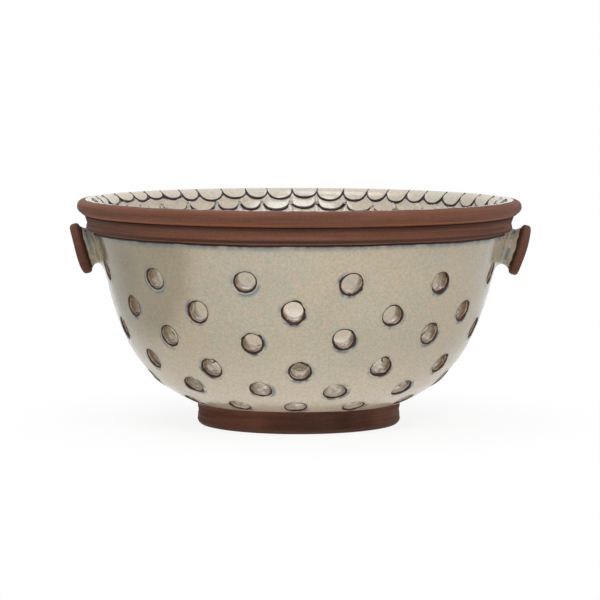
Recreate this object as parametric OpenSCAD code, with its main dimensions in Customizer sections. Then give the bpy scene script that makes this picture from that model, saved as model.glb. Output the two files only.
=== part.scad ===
// Berry colander bowl: a thrown, pierced stoneware bowl with a bare rolled lip and collar,
// a turned foot ring, a knob lug on each side, and a glaze coat inside and out.
// Millimetres. The origin is on the table under the middle of the bowl, +Z is up,
// and the two lugs lie on the X axis. A lean is an angle from upright, in degrees:
// a wall stretch of lean 0 stands straight, and one of lean 90 lies flat.

/* [Bowl] */
// Height from the table to the crest of the lip
bowl_h = 103; // [96:1:115]
// Thickness of the clay in the wall and the floor
wall_t = 5; // [4:0.5:7]
// Height of the floor's underside above the table
floor_clear = 5.2; // [4:0.2:8]
// Lean of the straight upper wall
wall_lean = 16.5; // [13:0.5:20]
// Radius of the belly curve under the upper wall
belly_r = 77.5; // [65:0.5:90]
// Lean of the wall where the belly begins
belly_lean = 42; // [38:1:46]
// Radius of the tighter shoulder under the belly
shoulder_r = 12.5; // [9:0.5:20]
// Lean of the wall where the shoulder begins
shoulder_lean = 52; // [48:1:58]
// Radius of the broad curve under the bowl
base_r = 74.5; // [65:0.5:85]
// Thickness of the glaze coats
glaze_t = 0.5; // [0.3:0.1:1]

/* [Rim] */
// Widest diameter of the lip
lip_d = 203; // [190:1:220]
// Height of the lip above the collar
lip_h = 7.2; // [6:0.2:9]
// How far the lip stands out from the line of the wall
lip_proud = 3.2; // [2:0.1:5]
// Radius of the lip's outer roll
lip_roll_r = 3; // [2:0.1:3.5]
// Radius of the lip's inner shoulder
lip_inner_r = 5; // [3:0.5:6]
// Height of the collar
collar_h = 7; // [6:0.5:10]
// How far the collar's bead stands out from the wall
collar_proud = 3.2; // [2.2:0.1:4]
// Radius of the collar's bead
collar_bead_r = 1.8; // [1:0.1:2.2]
// How far the joint of collar and lip stands out from the wall
seat_proud = 1.4; // [0.6:0.1:2]
// Depth of the cove between the bead and the lip
cove_depth = 0.5; // [0.2:0.1:0.6]
// Width of the bare strip of wall between the collar and the outside glaze
bare_strip = 0.8; // [0.4:0.1:3]

/* [Foot] */
// Outer diameter of the foot ring
foot_d = 93; // [80:1:104]
// Thickness of the foot ring
foot_t = 6.5; // [4:0.5:10]
// Radius of the foot's lower outer edge
foot_edge_r = 1.6; // [0.5:0.1:2.5]

/* [Drain holes] */
// Diameter of a drain hole in the clay
hole_d = 10; // [8:0.5:12]
// How far the glaze draws back from the edge of a hole
glaze_break = 0.4; // [0.2:0.1:1]
// Drain holes in each row round the wall
holes_in_row = 12; // [8:2:14]
// Drain holes in the ring in the floor
holes_in_floor = 6; // [4:1:8]
// Diameter of the ring of holes in the floor
floor_ring_d = 52; // [36:1:60]

/* [Lugs] */
// Distance from the collar down the wall to the axis of a lug
lug_drop = 6.8; // [5:0.2:16]
// Diameter of a stem at its two ends
stem_d = 19; // [14:0.5:20]
// Diameter of a stem at its waist
stem_waist_d = 16; // [11:0.5:17]
// Length of a stem from the wall to the button
stem_l = 6.3; // [5:0.1:9]
// Diameter of a button
button_d = 23.5; // [21:0.5:28]
// Thickness of a button
button_t = 4.2; // [3.6:0.2:7]
// Radius of a button's edges
button_edge_r = 1.5; // [0.5:0.1:1.7]

/* [Hidden] */
$fn = 96;

// Overrun of every cut past the face that it leaves
cut_over = 2;

// Most that a chord of an arc may stray from the arc
chord_sag = 0.04;

// Places of the rows of holes up the open wall, from the foot to the collar
hole_row_shares = [0.087, 0.241, 0.381, 0.537, 0.662, 0.811];

bare_clay_color = "#6e4637";
body_clay_color = "#8a6450";
outside_glaze_color = "#b9af9b";
inside_glaze_color = "#cfc2b0";

// Unit vector that looks out of a wall stretch of lean a, as [radius, height]
function outward(a) = [cos(a), -sin(a)];

// Length of an arc of radius r through a turn in degrees
function arc_len(r, turn) = r * turn * PI / 180;

// Number of chords for an arc of radius r through a turn in degrees
function chords(r, turn) = ceil(abs(turn) / (2 * acos(1 - chord_sag / r)));

// Points of an arc about c from lean a to lean b, without its first point
function arc(c, r, a, b) =
    let (n = chords(r, b - a))
    [for (i = [1:n]) c + r * outward(a + (b - a) * i / n)];

// Points of an arc from p to q that dips to the left of the line p to q, without its first point
function dip_arc(p, q, depth) =
    let (chord = norm(q - p),
         r = (chord * chord / 4 + depth * depth) / (2 * depth),
         half = asin(chord / (2 * r)),
         along = (q - p) / chord,
         left = [-along[1], along[0]],
         c = (p + q) / 2 - left * (r - depth),
         n = chords(r, 2 * half))
    [for (i = [1:n])
        let (a = half * (2 * i / n - 1))
        c + r * (cos(a) * left + sin(a) * along)];

// Lean at which a line from point p touches the circle of radius r about c
function touch_lean(p, c, r) = atan2(c[1] - p[1], p[0] - c[0]) - acos(r / norm(p - c));

function reversed(points) = [for (i = [len(points) - 1:-1:0]) points[i]];

// Heights of the joint between collar and lip, and of the collar's underside
seat_z = bowl_h - lip_h;
collar_z = seat_z - collar_h;

// Outer radius of the clay in the upper wall at height z
function wall_r(z) = lip_d / 2 - lip_proud - (bowl_h - z) * tan(wall_lean);

// Point on the upper wall, inset from the clay's outer face
function wall_at(inset, z) = [wall_r(z) - inset / cos(wall_lean), z];

// Centres of the three curves, worked out from the upper wall down to the floor
belly_top_z = floor_clear
    + base_r - base_r * sin(shoulder_lean)
    + shoulder_r * (sin(shoulder_lean) - sin(belly_lean))
    + belly_r * (sin(belly_lean) - sin(wall_lean));
belly_c = wall_at(0, belly_top_z) - belly_r * outward(wall_lean);
shoulder_c = belly_c + (belly_r - shoulder_r) * outward(belly_lean);
base_c = shoulder_c - (base_r - shoulder_r) * outward(shoulder_lean);

// The bowl's outline from the middle of the floor to the foot of the upper wall
function bowl_curve(inset) = concat(
    [[0, floor_clear + inset], [base_c[0], floor_clear + inset]],
    arc(base_c, base_r - inset, 90, shoulder_lean),
    arc(shoulder_c, shoulder_r - inset, shoulder_lean, belly_lean),
    arc(belly_c, belly_r - inset, belly_lean, wall_lean));

// Distances along the outside of the clay, from the edge of the flat floor
base_len = arc_len(base_r, 90 - shoulder_lean);
shoulder_len = arc_len(shoulder_r, shoulder_lean - belly_lean);
belly_len = arc_len(belly_r, belly_lean - wall_lean);
curved_len = base_len + shoulder_len + belly_len;
foot_lean = acos((foot_d / 2 - base_c[0]) / base_r);
foot_s = arc_len(base_r, 90 - foot_lean);
collar_s = curved_len + (collar_z - belly_top_z) / cos(wall_lean);

// A spot on the outside of the clay is [radius, height, lean]
function arc_spot(c, r, a) = [c[0] + r * cos(a), c[1] - r * sin(a), a];

// The spot on an arc at a distance past the lean a where the arc begins
function arc_spot_after(c, r, a, distance) = arc_spot(c, r, a - distance * 180 / (PI * r));

// The spot at a distance s along the outside of the clay
function spot_at(s) =
    s < base_len ? arc_spot_after(base_c, base_r, 90, s)
    : s < base_len + shoulder_len ? arc_spot_after(shoulder_c, shoulder_r, shoulder_lean, s - base_len)
    : s < curved_len ? arc_spot_after(belly_c, belly_r, belly_lean, s - base_len - shoulder_len)
    : let (z = belly_top_z + (s - curved_len) * cos(wall_lean)) [wall_r(z), z, wall_lean];

// Distance of a row of holes along the wall, and the spots of the floor's ring and of a lug
function row_s(share) = foot_s + share * (collar_s - foot_s);
floor_spot = arc_spot(base_c, base_r, acos(max(0, floor_ring_d / 2 - base_c[0]) / base_r));
lug_spot = spot_at(collar_s - lug_drop);

// The lip: the centres of its inner shoulder and outer roll, and the outer edge of its seat
lip_shoulder_z = bowl_h - glaze_t - lip_inner_r;
lip_shoulder_c = wall_at(wall_t, lip_shoulder_z) + [lip_inner_r / cos(wall_lean), 0];
lip_roll_c = [lip_d / 2 - lip_roll_r, bowl_h - lip_roll_r];
seat_edge = [wall_r(seat_z) + seat_proud, seat_z];

// The collar: the centre of its bead, and the lean at which the bead turns into the cove
collar_bead_c = [wall_r(collar_z) + collar_proud - collar_bead_r, collar_z + collar_bead_r];
bead_end_lean = -40;
collar_curve = concat(
    [[collar_bead_c[0], collar_z]],
    arc(collar_bead_c, collar_bead_r, 90, bead_end_lean),
    dip_arc(collar_bead_c + collar_bead_r * outward(bead_end_lean), seat_edge, cove_depth));

// Inner face of the rim, raised by the glaze, up to the crest where the inside glaze ends
function rim_inside(raise) = concat(
    [lip_shoulder_c - (lip_inner_r + raise) * outward(wall_lean)],
    arc(lip_shoulder_c, lip_inner_r + raise, 180 + wall_lean, 270),
    [[lip_roll_c[0], bowl_h - glaze_t + raise]]);

// The waist of a stem, about an axis that stands on the wall
waist_dip = (stem_d - stem_waist_d) / 2;
waist_r = (stem_l * stem_l / 4 + waist_dip * waist_dip) / (2 * waist_dip);
waist_c = [stem_waist_d / 2 + waist_r, stem_l / 2];
waist_turn = asin(stem_l / (2 * waist_r));
function waist_curve(raise) = arc(waist_c, waist_r - raise, 180 - waist_turn, 180 + waist_turn);

// Section of the bowl filled to the axis, inset from the clay's outer face
module filled_section(inset) {
    polygon(concat(bowl_curve(inset), [wall_at(inset, bowl_h), [0, bowl_h]]));
}

// The bowl and collar filled to the axis, as the bed that a lug is trimmed to
module lug_bed(inset) {
    rotate_extrude()
        polygon(concat(bowl_curve(inset), [wall_at(inset, collar_z)], collar_curve, [[0, seat_z]]));
}

// Stands its children on a spot of the wall, their Z axis looking out of it, turned round the bowl
module on_wall(spot, turn) {
    rotate([0, 0, turn])
        translate([spot[0], 0, spot[1]])
            rotate([0, 90 + spot[2], 0])
                children();
}

module drill(spot, turn, d) {
    on_wall(spot, turn)
        translate([0, 0, -wall_t - cut_over])
            cylinder(d = d, h = wall_t + 2 * cut_over);
}

// Every drain hole: staggered rows up the wall, a ring in the floor and one in the middle
module drain_holes(d) {
    for (row = [0:len(hole_row_shares) - 1])
        for (i = [0:holes_in_row - 1])
            drill(spot_at(row_s(hole_row_shares[row])), (i + row % 2 / 2) * 360 / holes_in_row, d);
    for (i = [0:holes_in_floor - 1])
        drill(floor_spot, (i + 1 / 2) * 360 / holes_in_floor, d);
    translate([0, 0, floor_clear - cut_over])
        cylinder(d = d, h = wall_t + 2 * cut_over);
}

module bowl_wall() {
    color(body_clay_color)
        difference() {
            rotate_extrude()
                polygon(concat(
                    bowl_curve(0),
                    [wall_at(0, seat_z), wall_at(wall_t, seat_z)],
                    reversed(bowl_curve(wall_t))));
            drain_holes(hole_d);
        }
}

module rim_collar() {
    color(bare_clay_color)
        rotate_extrude()
            polygon(concat([wall_at(0, collar_z)], collar_curve, [wall_at(0, seat_z)]));
}

module rim_lip() {
    color(bare_clay_color)
        rotate_extrude()
            polygon(concat(
                [wall_at(wall_t, seat_z)],
                rim_inside(0),
                [lip_roll_c + lip_roll_r * outward(-90)],
                arc(lip_roll_c, lip_roll_r, -90, touch_lean(seat_edge, lip_roll_c, lip_roll_r)),
                [seat_edge]));
}

module foot_ring() {
    edge_c = [foot_d / 2 - foot_edge_r, foot_edge_r];
    color(bare_clay_color)
        rotate_extrude()
            difference() {
                polygon(concat(
                    [[foot_d / 2 - foot_t, 0], [edge_c[0], 0]],
                    arc(edge_c, foot_edge_r, 90, 0),
                    [[foot_d / 2, base_c[1]], [foot_d / 2 - foot_t, base_c[1]]]));
                filled_section(0);
            }
}

module outside_glaze() {
    color(outside_glaze_color)
        difference() {
            rotate_extrude()
                difference() {
                    filled_section(-glaze_t);
                    filled_section(0);
                    square([foot_d / 2, collar_z]);
                    translate([0, collar_z - bare_strip])
                        square([lip_d, bowl_h]);
                }
            drain_holes(hole_d + 2 * glaze_break);
            for (turn = [0, 180])
                on_wall(lug_spot, turn)
                    stem_shape();
        }
}

module inside_glaze() {
    color(inside_glaze_color)
        difference() {
            rotate_extrude()
                polygon(concat(
                    bowl_curve(wall_t),
                    rim_inside(0),
                    reversed(concat(bowl_curve(wall_t + glaze_t), rim_inside(glaze_t)))));
            drain_holes(hole_d + 2 * glaze_break);
        }
}

// A stem that runs on into the wall, where it is trimmed to its seat on the wall and the collar's bead
module stem_shape() {
    rotate_extrude()
        polygon(concat(
            [[0, -wall_t], [stem_d / 2, -wall_t], [stem_d / 2, 0]],
            waist_curve(0),
            [[0, stem_l]]));
}

module lug_stem(turn) {
    color(body_clay_color)
        difference() {
            on_wall(lug_spot, turn)
                stem_shape();
            lug_bed(0);
        }
}

// The glaze round a stem, from the glazed wall to the back of the button
module lug_glaze(turn) {
    skirt = waist_c + (waist_r - glaze_t) * outward(180 - waist_turn);
    color(outside_glaze_color)
        difference() {
            on_wall(lug_spot, turn)
                rotate_extrude()
                    polygon(concat(
                        [[stem_d / 2, -wall_t], [skirt[0], -wall_t], skirt],
                        waist_curve(glaze_t),
                        reversed(waist_curve(0)),
                        [[stem_d / 2, 0]]));
            lug_bed(-glaze_t);
        }
}

module lug_button(turn) {
    inner_c = [button_d / 2 - button_edge_r, stem_l + button_edge_r];
    outer_c = [inner_c[0], stem_l + button_t - button_edge_r];
    color(bare_clay_color)
        on_wall(lug_spot, turn)
            rotate_extrude()
                polygon(concat(
                    [[0, stem_l], [inner_c[0], stem_l]],
                    arc(inner_c, button_edge_r, 90, 0),
                    [outer_c + button_edge_r * outward(0)],
                    arc(outer_c, button_edge_r, 0, -90),
                    [[0, stem_l + button_t]]));
}

module right_lug_stem() { lug_stem(0); }
module right_lug_glaze() { lug_glaze(0); }
module right_lug_button() { lug_button(0); }
module left_lug_stem() { lug_stem(180); }
module left_lug_glaze() { lug_glaze(180); }
module left_lug_button() { lug_button(180); }

bowl_wall();
rim_collar();
rim_lip();
foot_ring();
outside_glaze();
inside_glaze();
left_lug_stem();
left_lug_glaze();
left_lug_button();
right_lug_stem();
right_lug_glaze();
right_lug_button();
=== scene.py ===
"""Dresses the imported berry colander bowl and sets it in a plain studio.

Lengths are millimetres and angles are radians until a mesh or a lamp is made, which is in metres.
A place on the wall is a turn round the bowl, from +X towards +Y, and a run along the clay's outer
face from the edge of the flat floor. A lift is a distance out of that face along its normal, and
a lean is the wall's angle from upright: at no lean it stands straight, at a quarter turn it is flat.
"""
import logging
import math
from dataclasses import dataclass, field, replace
from enum import Enum
from typing import NamedTuple

import bmesh
import bpy
import numpy as np
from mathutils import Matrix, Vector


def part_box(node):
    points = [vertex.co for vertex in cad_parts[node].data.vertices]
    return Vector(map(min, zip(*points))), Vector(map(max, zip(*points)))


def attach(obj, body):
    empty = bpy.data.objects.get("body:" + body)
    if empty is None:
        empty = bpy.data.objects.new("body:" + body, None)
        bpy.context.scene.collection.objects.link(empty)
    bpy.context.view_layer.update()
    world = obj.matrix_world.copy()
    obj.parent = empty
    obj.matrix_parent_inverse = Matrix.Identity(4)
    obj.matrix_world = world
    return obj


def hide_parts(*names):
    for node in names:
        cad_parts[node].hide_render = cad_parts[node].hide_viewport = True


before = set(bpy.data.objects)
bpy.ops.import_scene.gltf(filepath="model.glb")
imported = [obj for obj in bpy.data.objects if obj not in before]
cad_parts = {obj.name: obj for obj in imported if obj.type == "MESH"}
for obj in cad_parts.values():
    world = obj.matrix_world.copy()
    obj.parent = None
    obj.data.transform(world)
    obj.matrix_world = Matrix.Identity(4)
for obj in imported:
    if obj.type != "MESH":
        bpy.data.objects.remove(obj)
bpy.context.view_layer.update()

Array = np.ndarray
Rgb = tuple[int, int, int]
Spots = tuple[tuple[float, float, float, float], ...]
Socket = bpy.types.NodeSocket
Feeds = dict[str | int, Socket | float | Rgb | list[float]]

MM = 0.001
FULL_TURN = 2 * math.pi
SEED = 11
BODY = "root"

# A gap too wide for any line or haze to cross, and what a point that far from the holes carries.
FAR_GAP = 20.0
FAR_FROM_HOLES = {"hole_gap": FAR_GAP, "hole_low": 0.0, "hole_tone": 0.5}

# Where the glaze swells round a hole: how far from its edge, and over what distance.
SWELL_GAP = 0.9
SWELL_REACH = 0.8

# How the scales of the lower rows stand apart, and how the line along their edges goes.
SET_APART = {"apart": 0.07, "bold": 0.13, "faint": 1.1, "sudden": 3.0}

log = logging.getLogger("colander")


class Slot(Enum):
    """The material slots."""

    CLAY_BODY = "clay_body"
    BARE_CLAY = "bare_clay"
    OUTSIDE_GLAZE = "outside_glaze"
    INSIDE_GLAZE = "inside_glaze"


class Facing(Enum):
    """The way that a coat looks: out of the bowl or into it."""

    OUT = 1
    IN = -1


def node_box(node: str) -> tuple[Array, Array]:
    """The lowest and highest corners of a CAD node, in millimetres."""
    low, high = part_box(node)
    return np.array(low) / MM, np.array(high) / MM


def outward(lean: float) -> Array:
    """The direction that looks out of a wall of that lean, as radius and height."""
    return np.array([math.cos(lean), -math.sin(lean)])


def full_turns(count: int) -> Array:
    """Turns that share a full one out evenly."""
    return np.arange(count) * FULL_TURN / count


def turned(radius: Array, turn: Array, z: Array | float) -> Array:
    """Places of points at a radius, a turn and a height, on one more axis for x, y and z."""
    return np.stack(np.broadcast_arrays(radius * np.cos(turn), radius * np.sin(turn), z), axis=-1)


def running_sum(steps: Array) -> Array:
    """Where each step starts, from nothing on, and where the last one ends."""
    return np.concatenate([[0], np.cumsum(steps)])


def traced(run: Array, knots: Array | list[float], leans: list[float]) -> tuple[Array, Array, Array]:
    """A line as the running sum of its own direction: out by the sine of its lean, up by the cosine.

    Args:
        run: the distances along the line to work it out at.
        knots: distances at which its lean is given. In between, the lean changes at a steady rate.
        leans: its leans there.

    Returns:
        At each distance, its lean, and how far out and how far up it has come.
    """
    middle = np.interp((run[1:] + run[:-1]) / 2, knots, leans)
    out, up = (running_sum(part * np.diff(run)) for part in (np.sin(middle), np.cos(middle)))
    return np.interp(run, knots, leans), out, up


def arc(centre: Array, radius: float, start: float, end: float, count: int) -> Array:
    """Points of an arc: the centre plus the radius times the direction at each lean.

    Args:
        centre: radius and height of the arc's centre.
        radius: the arc's radius.
        start: lean of the first point.
        end: lean of the last point.
        count: how many points.

    Returns:
        The points, one to a row.
    """
    lean = np.linspace(start, end, count)[:, None]
    return centre + radius * np.hstack([np.cos(lean), -np.sin(lean)])


def corner(before: Array, tip: Array, after: Array, count: int = 7) -> Array:
    """Points of a rounded corner: a parabola from before to after that is drawn towards the tip."""
    t = np.linspace(0, 1, count)[:, None]
    return (1 - t) ** 2 * before + 2 * t * (1 - t) * tip + t**2 * after


def resampled(section: Array, spacing: float) -> Array:
    """The closed section with points at an even spacing along it.

    Args:
        section: radius and height of its points, one to a row.
        spacing: about how far apart the new points lie.

    Returns:
        The new points, the first one repeated at the end.
    """
    closed = np.vstack([section, section[:1]])
    along = running_sum(np.linalg.norm(np.diff(closed, axis=0), axis=1))
    even = np.linspace(0, along[-1], int(along[-1] / spacing) + 1)
    return np.stack([np.interp(even, along, closed[:, i]) for i in range(2)], axis=1)


def stack_faces(shape: tuple[int, int, int], closed: bool, flip: bool) -> Array:
    """Quads between neighbouring rows of stacks of points.

    Args:
        shape: how many stacks, rows in a stack and points in a row.
        closed: whether a row's last point joins its first.
        flip: whether the faces look the other way.

    Returns:
        Point numbers, four to a face.
    """
    index = np.arange(int(np.prod(shape))).reshape(shape)
    here = index if closed else index[:, :, :-1]
    beside = np.roll(index, -1, axis=2) if closed else index[:, :, 1:]
    quads = np.stack([here[:, :-1], beside[:, :-1], beside[:, 1:], here[:, 1:]], axis=-1).reshape(-1, 4)
    return quads[:, ::-1] if flip else quads


@dataclass(frozen=True)
class HandThrown:
    """The slight unevenness of a pot thrown by hand, as shifts that grow with height."""

    height: float = 103.0
    oval: float = 0.25
    oval_phase: float = 0.6
    trefoil: float = 0.25
    sway: float = 0.25

    def shift(self, points: Array) -> Array:
        """Moves points out of round and tips the rim.

        The radius grows by a two-lobed and a three-lobed wave of the turn, and the height falls
        towards +X by the sway, each times the share of the full height.

        Args:
            points: places of a true pot, one to a row.

        Returns:
            Their places on the thrown one.
        """
        turn = np.arctan2(points[:, 1], points[:, 0])
        radius = np.hypot(points[:, 0], points[:, 1])
        share = points[:, 2] / self.height
        wave = self.oval * np.cos(2 * turn + self.oval_phase) + self.trefoil * np.cos(3 * turn)
        z = points[:, 2] - share**2 * self.sway * points[:, 0] / self.height
        return turned(radius + share * wave, turn, z)


HAND = HandThrown()


@dataclass
class Skin:
    """Points, faces and point values of one closed mesh, gathered stretch by stretch."""

    name: str
    points: list[Array] = field(default_factory=list)
    faces: list[Array] = field(default_factory=list)
    values: dict[str, list[Array]] = field(default_factory=dict)
    size: int = 0
    weld: float = 0.004

    def add(self, points: Array, faces: Array, **values: Array | float) -> None:
        """Adds a stretch of the mesh.

        Args:
            points: places, whose last axis holds x, y and z.
            faces: point numbers within this stretch, one face to a row.
            values: a number, or one for each point, by the name of its attribute.
        """
        self.points.append(points.reshape(-1, 3))
        self.faces.append(faces + self.size)
        for key, value in values.items():
            spread = np.broadcast_to(value, points.shape[:-1]).reshape(-1)
            self.values.setdefault(key, []).append(spread)
        self.size += points.size // 3

    def add_stack(self, points: Array, closed: bool = True, flip: bool = False,
                  **values: Array | float) -> None:
        """Adds one stack or more of rows of points, with quads between neighbouring rows."""
        stacks = points if points.ndim == 4 else points[None]
        self.add(stacks, stack_faces(stacks.shape[:3], closed, flip), **values)

    def to_piece(self, material: bpy.types.Material, slot: Slot, *nodes: str) -> bpy.types.Object:
        """Makes the mesh, welds its seams and sets the piece on the frame.

        Args:
            material: the finish.
            slot: the slot that the finish belongs to; not used.
            nodes: the CAD nodes that the piece stands for.

        Returns:
            The finished piece.
        """
        points = HAND.shift(np.concatenate(self.points)) * MM
        corners = np.concatenate([faces.reshape(-1) for faces in self.faces])
        sizes = np.concatenate([np.full(len(faces), faces.shape[1]) for faces in self.faces])
        mesh = bpy.data.meshes.new(self.name)
        mesh.vertices.add(len(points))
        mesh.vertices.foreach_set("co", points.astype(np.float32).ravel())
        mesh.loops.add(len(corners))
        mesh.loops.foreach_set("vertex_index", corners.astype(np.int32))
        mesh.polygons.add(len(sizes))
        mesh.polygons.foreach_set("loop_start", (np.cumsum(sizes) - sizes).astype(np.int32))
        for key, parts in self.values.items():
            attribute = mesh.attributes.new(key, "FLOAT", "POINT")
            attribute.data.foreach_set("value", np.concatenate(parts).astype(np.float32))
        mesh.update(calc_edges=True)
        self.close_seams(mesh)
        mesh.shade_smooth()
        mesh.materials.append(material)
        piece = bpy.data.objects.new(self.name, mesh)
        bpy.context.scene.collection.objects.link(piece)
        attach(piece, BODY)
        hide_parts(*nodes)
        log.info("%s: %d faces, for %s", self.name, len(mesh.polygons), ", ".join(nodes))
        return piece

    def close_seams(self, mesh: bpy.types.Mesh) -> None:
        """Merges the points that neighbouring stretches share.

        Args:
            mesh: the mesh to mend.
        """
        work = bmesh.new()
        work.from_mesh(mesh)
        bmesh.ops.remove_doubles(work, verts=work.verts, dist=self.weld * MM)
        work.to_mesh(mesh)
        work.free()
        mesh.validate()


@dataclass
class WallLine:
    """The outer line of the clay, from the middle of the floor up the wall.

    The lean changes at a steady rate along each round stretch, so the line is the running sum of
    its own direction: the radius grows by the sine of the lean and the height by its cosine.
    """

    wall_lean: float = math.radians(16.5)
    belly_lean: float = math.radians(42)
    shoulder_lean: float = math.radians(52)
    belly_r: float = 77.5
    shoulder_r: float = 12.5
    base_r: float = 74.5
    lip_proud: float = 3.2
    lip_inner_r: float = 5.0
    glaze_t: float = 0.5
    top_run: float = 140.0
    steps: int = 7000
    wave_ease: float = 12.0
    waves: tuple[tuple[float, float, int, float], ...] = (
        (0.035, 0.95, 1, 0), (0.03, 0.53, -2, 1), (0.12, 0.07, 4, 2), (0.08, -0.11, 7, 0))

    def __post_init__(self) -> None:
        """Works out the line from the frame's sizes and the curves' own."""
        self.floor_z = node_box("bowl_wall")[0][2]
        self.wall_t = node_box("inside_glaze")[0][2] - self.floor_z
        self.bowl_h = node_box("rim_lip")[1][2]
        self.lip_r = node_box("rim_lip")[1][0]
        self.seat_z = node_box("rim_lip")[0][2]
        self.collar_z = node_box("rim_collar")[0][2]
        self.foot_r = node_box("foot_ring")[1][0]
        leans = [math.pi / 2, self.shoulder_lean, self.belly_lean, self.wall_lean]
        lengths = -np.diff(leans) * [self.base_r, self.shoulder_r, self.belly_r]
        run = np.linspace(0, self.top_run, self.steps)
        lean, out, up = traced(run, running_sum(lengths), leans)
        z = self.floor_z + up
        self.flat_r = self.lip_r - self.lip_proud - float(np.interp(self.bowl_h, z, out))
        self.run = np.concatenate([[-self.flat_r], run])
        self.lean = np.concatenate([[math.pi / 2], lean])
        self.r = np.concatenate([[0], self.flat_r + out])
        self.z = np.concatenate([[self.floor_z], z])
        self.foot_run = self.run_at_radius(self.foot_r)
        self.collar_run = self.run_at_height(self.collar_z)

    def run_at_radius(self, radius: float) -> float:
        """The run at which the clay's outer face has that radius."""
        return float(np.interp(radius, self.r, self.run))

    def run_at_height(self, height: float) -> float:
        """The run at which the clay's outer face has that height, above the floor."""
        return float(np.interp(height, self.z[1:], self.run[1:]))

    def wall_at(self, inset: float, height: float) -> Array:
        """Radius and height of a point on the straight upper wall, inset level from its outer face."""
        radius = self.lip_r - self.lip_proud - (self.bowl_h - height) * math.tan(self.wall_lean)
        return np.array([radius - inset / math.cos(self.wall_lean), height])

    def shoulder(self) -> Array:
        """Radius and height of the centre that the rim is rounded about on its inner side."""
        height = self.bowl_h - self.glaze_t - self.lip_inner_r
        return self.wall_at(self.wall_t, height) + [self.lip_inner_r / math.cos(self.wall_lean), 0]

    def radius(self, run: Array, lift: Array) -> Array:
        """Radius at a run and a lift."""
        return np.interp(run, self.run, self.r) + lift * np.cos(np.interp(run, self.run, self.lean))

    def place(self, turn: Array, run: Array, lift: Array) -> Array:
        """Places in space: the point of the outer line, moved by the lift along its normal, and turned.

        Args:
            turn: turns round the bowl.
            run: runs along the wall.
            lift: lifts out of the clay's outer face.

        Returns:
            An array with one more axis, for x, y and z.
        """
        turn, run, lift = np.broadcast_arrays(turn, run, lift)
        z = np.interp(run, self.run, self.z) - lift * np.sin(np.interp(run, self.run, self.lean))
        return turned(self.radius(run, lift), turn, z)

    def paced(self, run: Array, ahead: Array, lift: float) -> Array:
        """The run that is reached by going a distance along the face at one lift.

        Along that face a run is longer by the lift times the turn of the normal since the floor.

        Args:
            run: where it starts.
            ahead: distances to go, up the wall.
            lift: the face's lift.

        Returns:
            The runs reached.
        """
        length = self.run + lift * (math.pi / 2 - self.lean)
        return np.interp(np.interp(run, self.run, length) + ahead, length, self.run)

    def ripple(self, turn: Array, run: Array) -> Array:
        """Throwing lines and soft lumps: waves of the run and the turn that die out at both ends.

        A wave is its height times the sine of a share of the run, a multiple of the turn and a phase.

        Args:
            turn: turns round the bowl.
            run: runs along the wall.

        Returns:
            How far the face stands out.
        """
        from_end = np.minimum(run - self.foot_run, self.collar_run - run)
        waves = sum(height * np.sin(along * run + around * turn + phase)
                    for height, along, around, phase in self.waves)
        return np.clip(from_end / self.wave_ease, 0, 1) * waves


@dataclass
class HoleGroup:
    """Drain holes of one kind, each in the cell of wall that is drawn in round it.

    A hole's outline is a circle with a slight oval and three-cornered wave of its own, because
    the holes are cut by hand.
    """

    wall: WallLine
    turn: Array
    run: Array
    edge_turn: Array
    edge_run: Array
    rng: np.random.Generator
    hole_r: float = 4.3
    size_stray: float = 0.12
    oval: float = 0.03
    trefoil: float = 0.014
    droop_stray: float = 0.6

    def __post_init__(self) -> None:
        """Draws each hole's own shape and finds the direction of each edge point from its hole."""
        count = len(self.turn)
        reach = np.interp(self.run, self.wall.run, self.wall.r)[:, None]
        self.angle = np.arctan2(self.edge_run - self.run[:, None],
                                (self.edge_turn - self.turn[:, None]) * reach)
        wave = sum(self.rng.normal(0, stray, count)[:, None]
                   * np.cos(lobes * self.angle + self.phases(count))
                   for lobes, stray in ((2, self.oval), (3, self.trefoil)))
        self.outline = self.hole_r * (1 + wave) + self.rng.normal(0, self.size_stray, count)[:, None]
        self.tone = self.rng.uniform(0, 1, count)
        self.droop = self.rng.normal(0, self.droop_stray, count)

    def phases(self, count: int) -> Array:
        """Random turns, one to a hole."""
        return self.rng.uniform(0, FULL_TURN, count)[:, None]

    def circle(self, grow: float, lift: float) -> tuple[Array, Array]:
        """The holes' outlines on the face at one lift.

        A point at an angle round the hole lies up the wall by the radius times the sine, and round
        the bowl by the radius times the cosine. A straight step round the bowl also climbs a leaning
        wall, by its square over twice the radius of the bowl.

        Args:
            grow: how much larger than the bore the outline is.
            lift: the face's lift.

        Returns:
            The turns and the runs, holes by points.
        """
        size = self.outline + grow
        lean = np.interp(self.run, self.wall.run, self.wall.lean)[:, None]
        across = size * np.cos(self.angle)
        reach = self.wall.radius(self.run, lift)[:, None]
        ahead = size * np.sin(self.angle) + across**2 * np.sin(lean) / (2 * reach)
        run = self.wall.paced(self.run[:, None], ahead, lift)
        return self.turn[:, None] + across / self.wall.radius(run, lift), run


@dataclass
class CentreHole(HoleGroup):
    """The one hole in the middle of the flat floor, which the turns go round."""

    def circle(self, grow: float, lift: float) -> tuple[Array, Array]:
        """The hole's outline: its radius is the run past the middle of the floor."""
        return self.edge_turn, self.outline + grow - self.wall.flat_r


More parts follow.
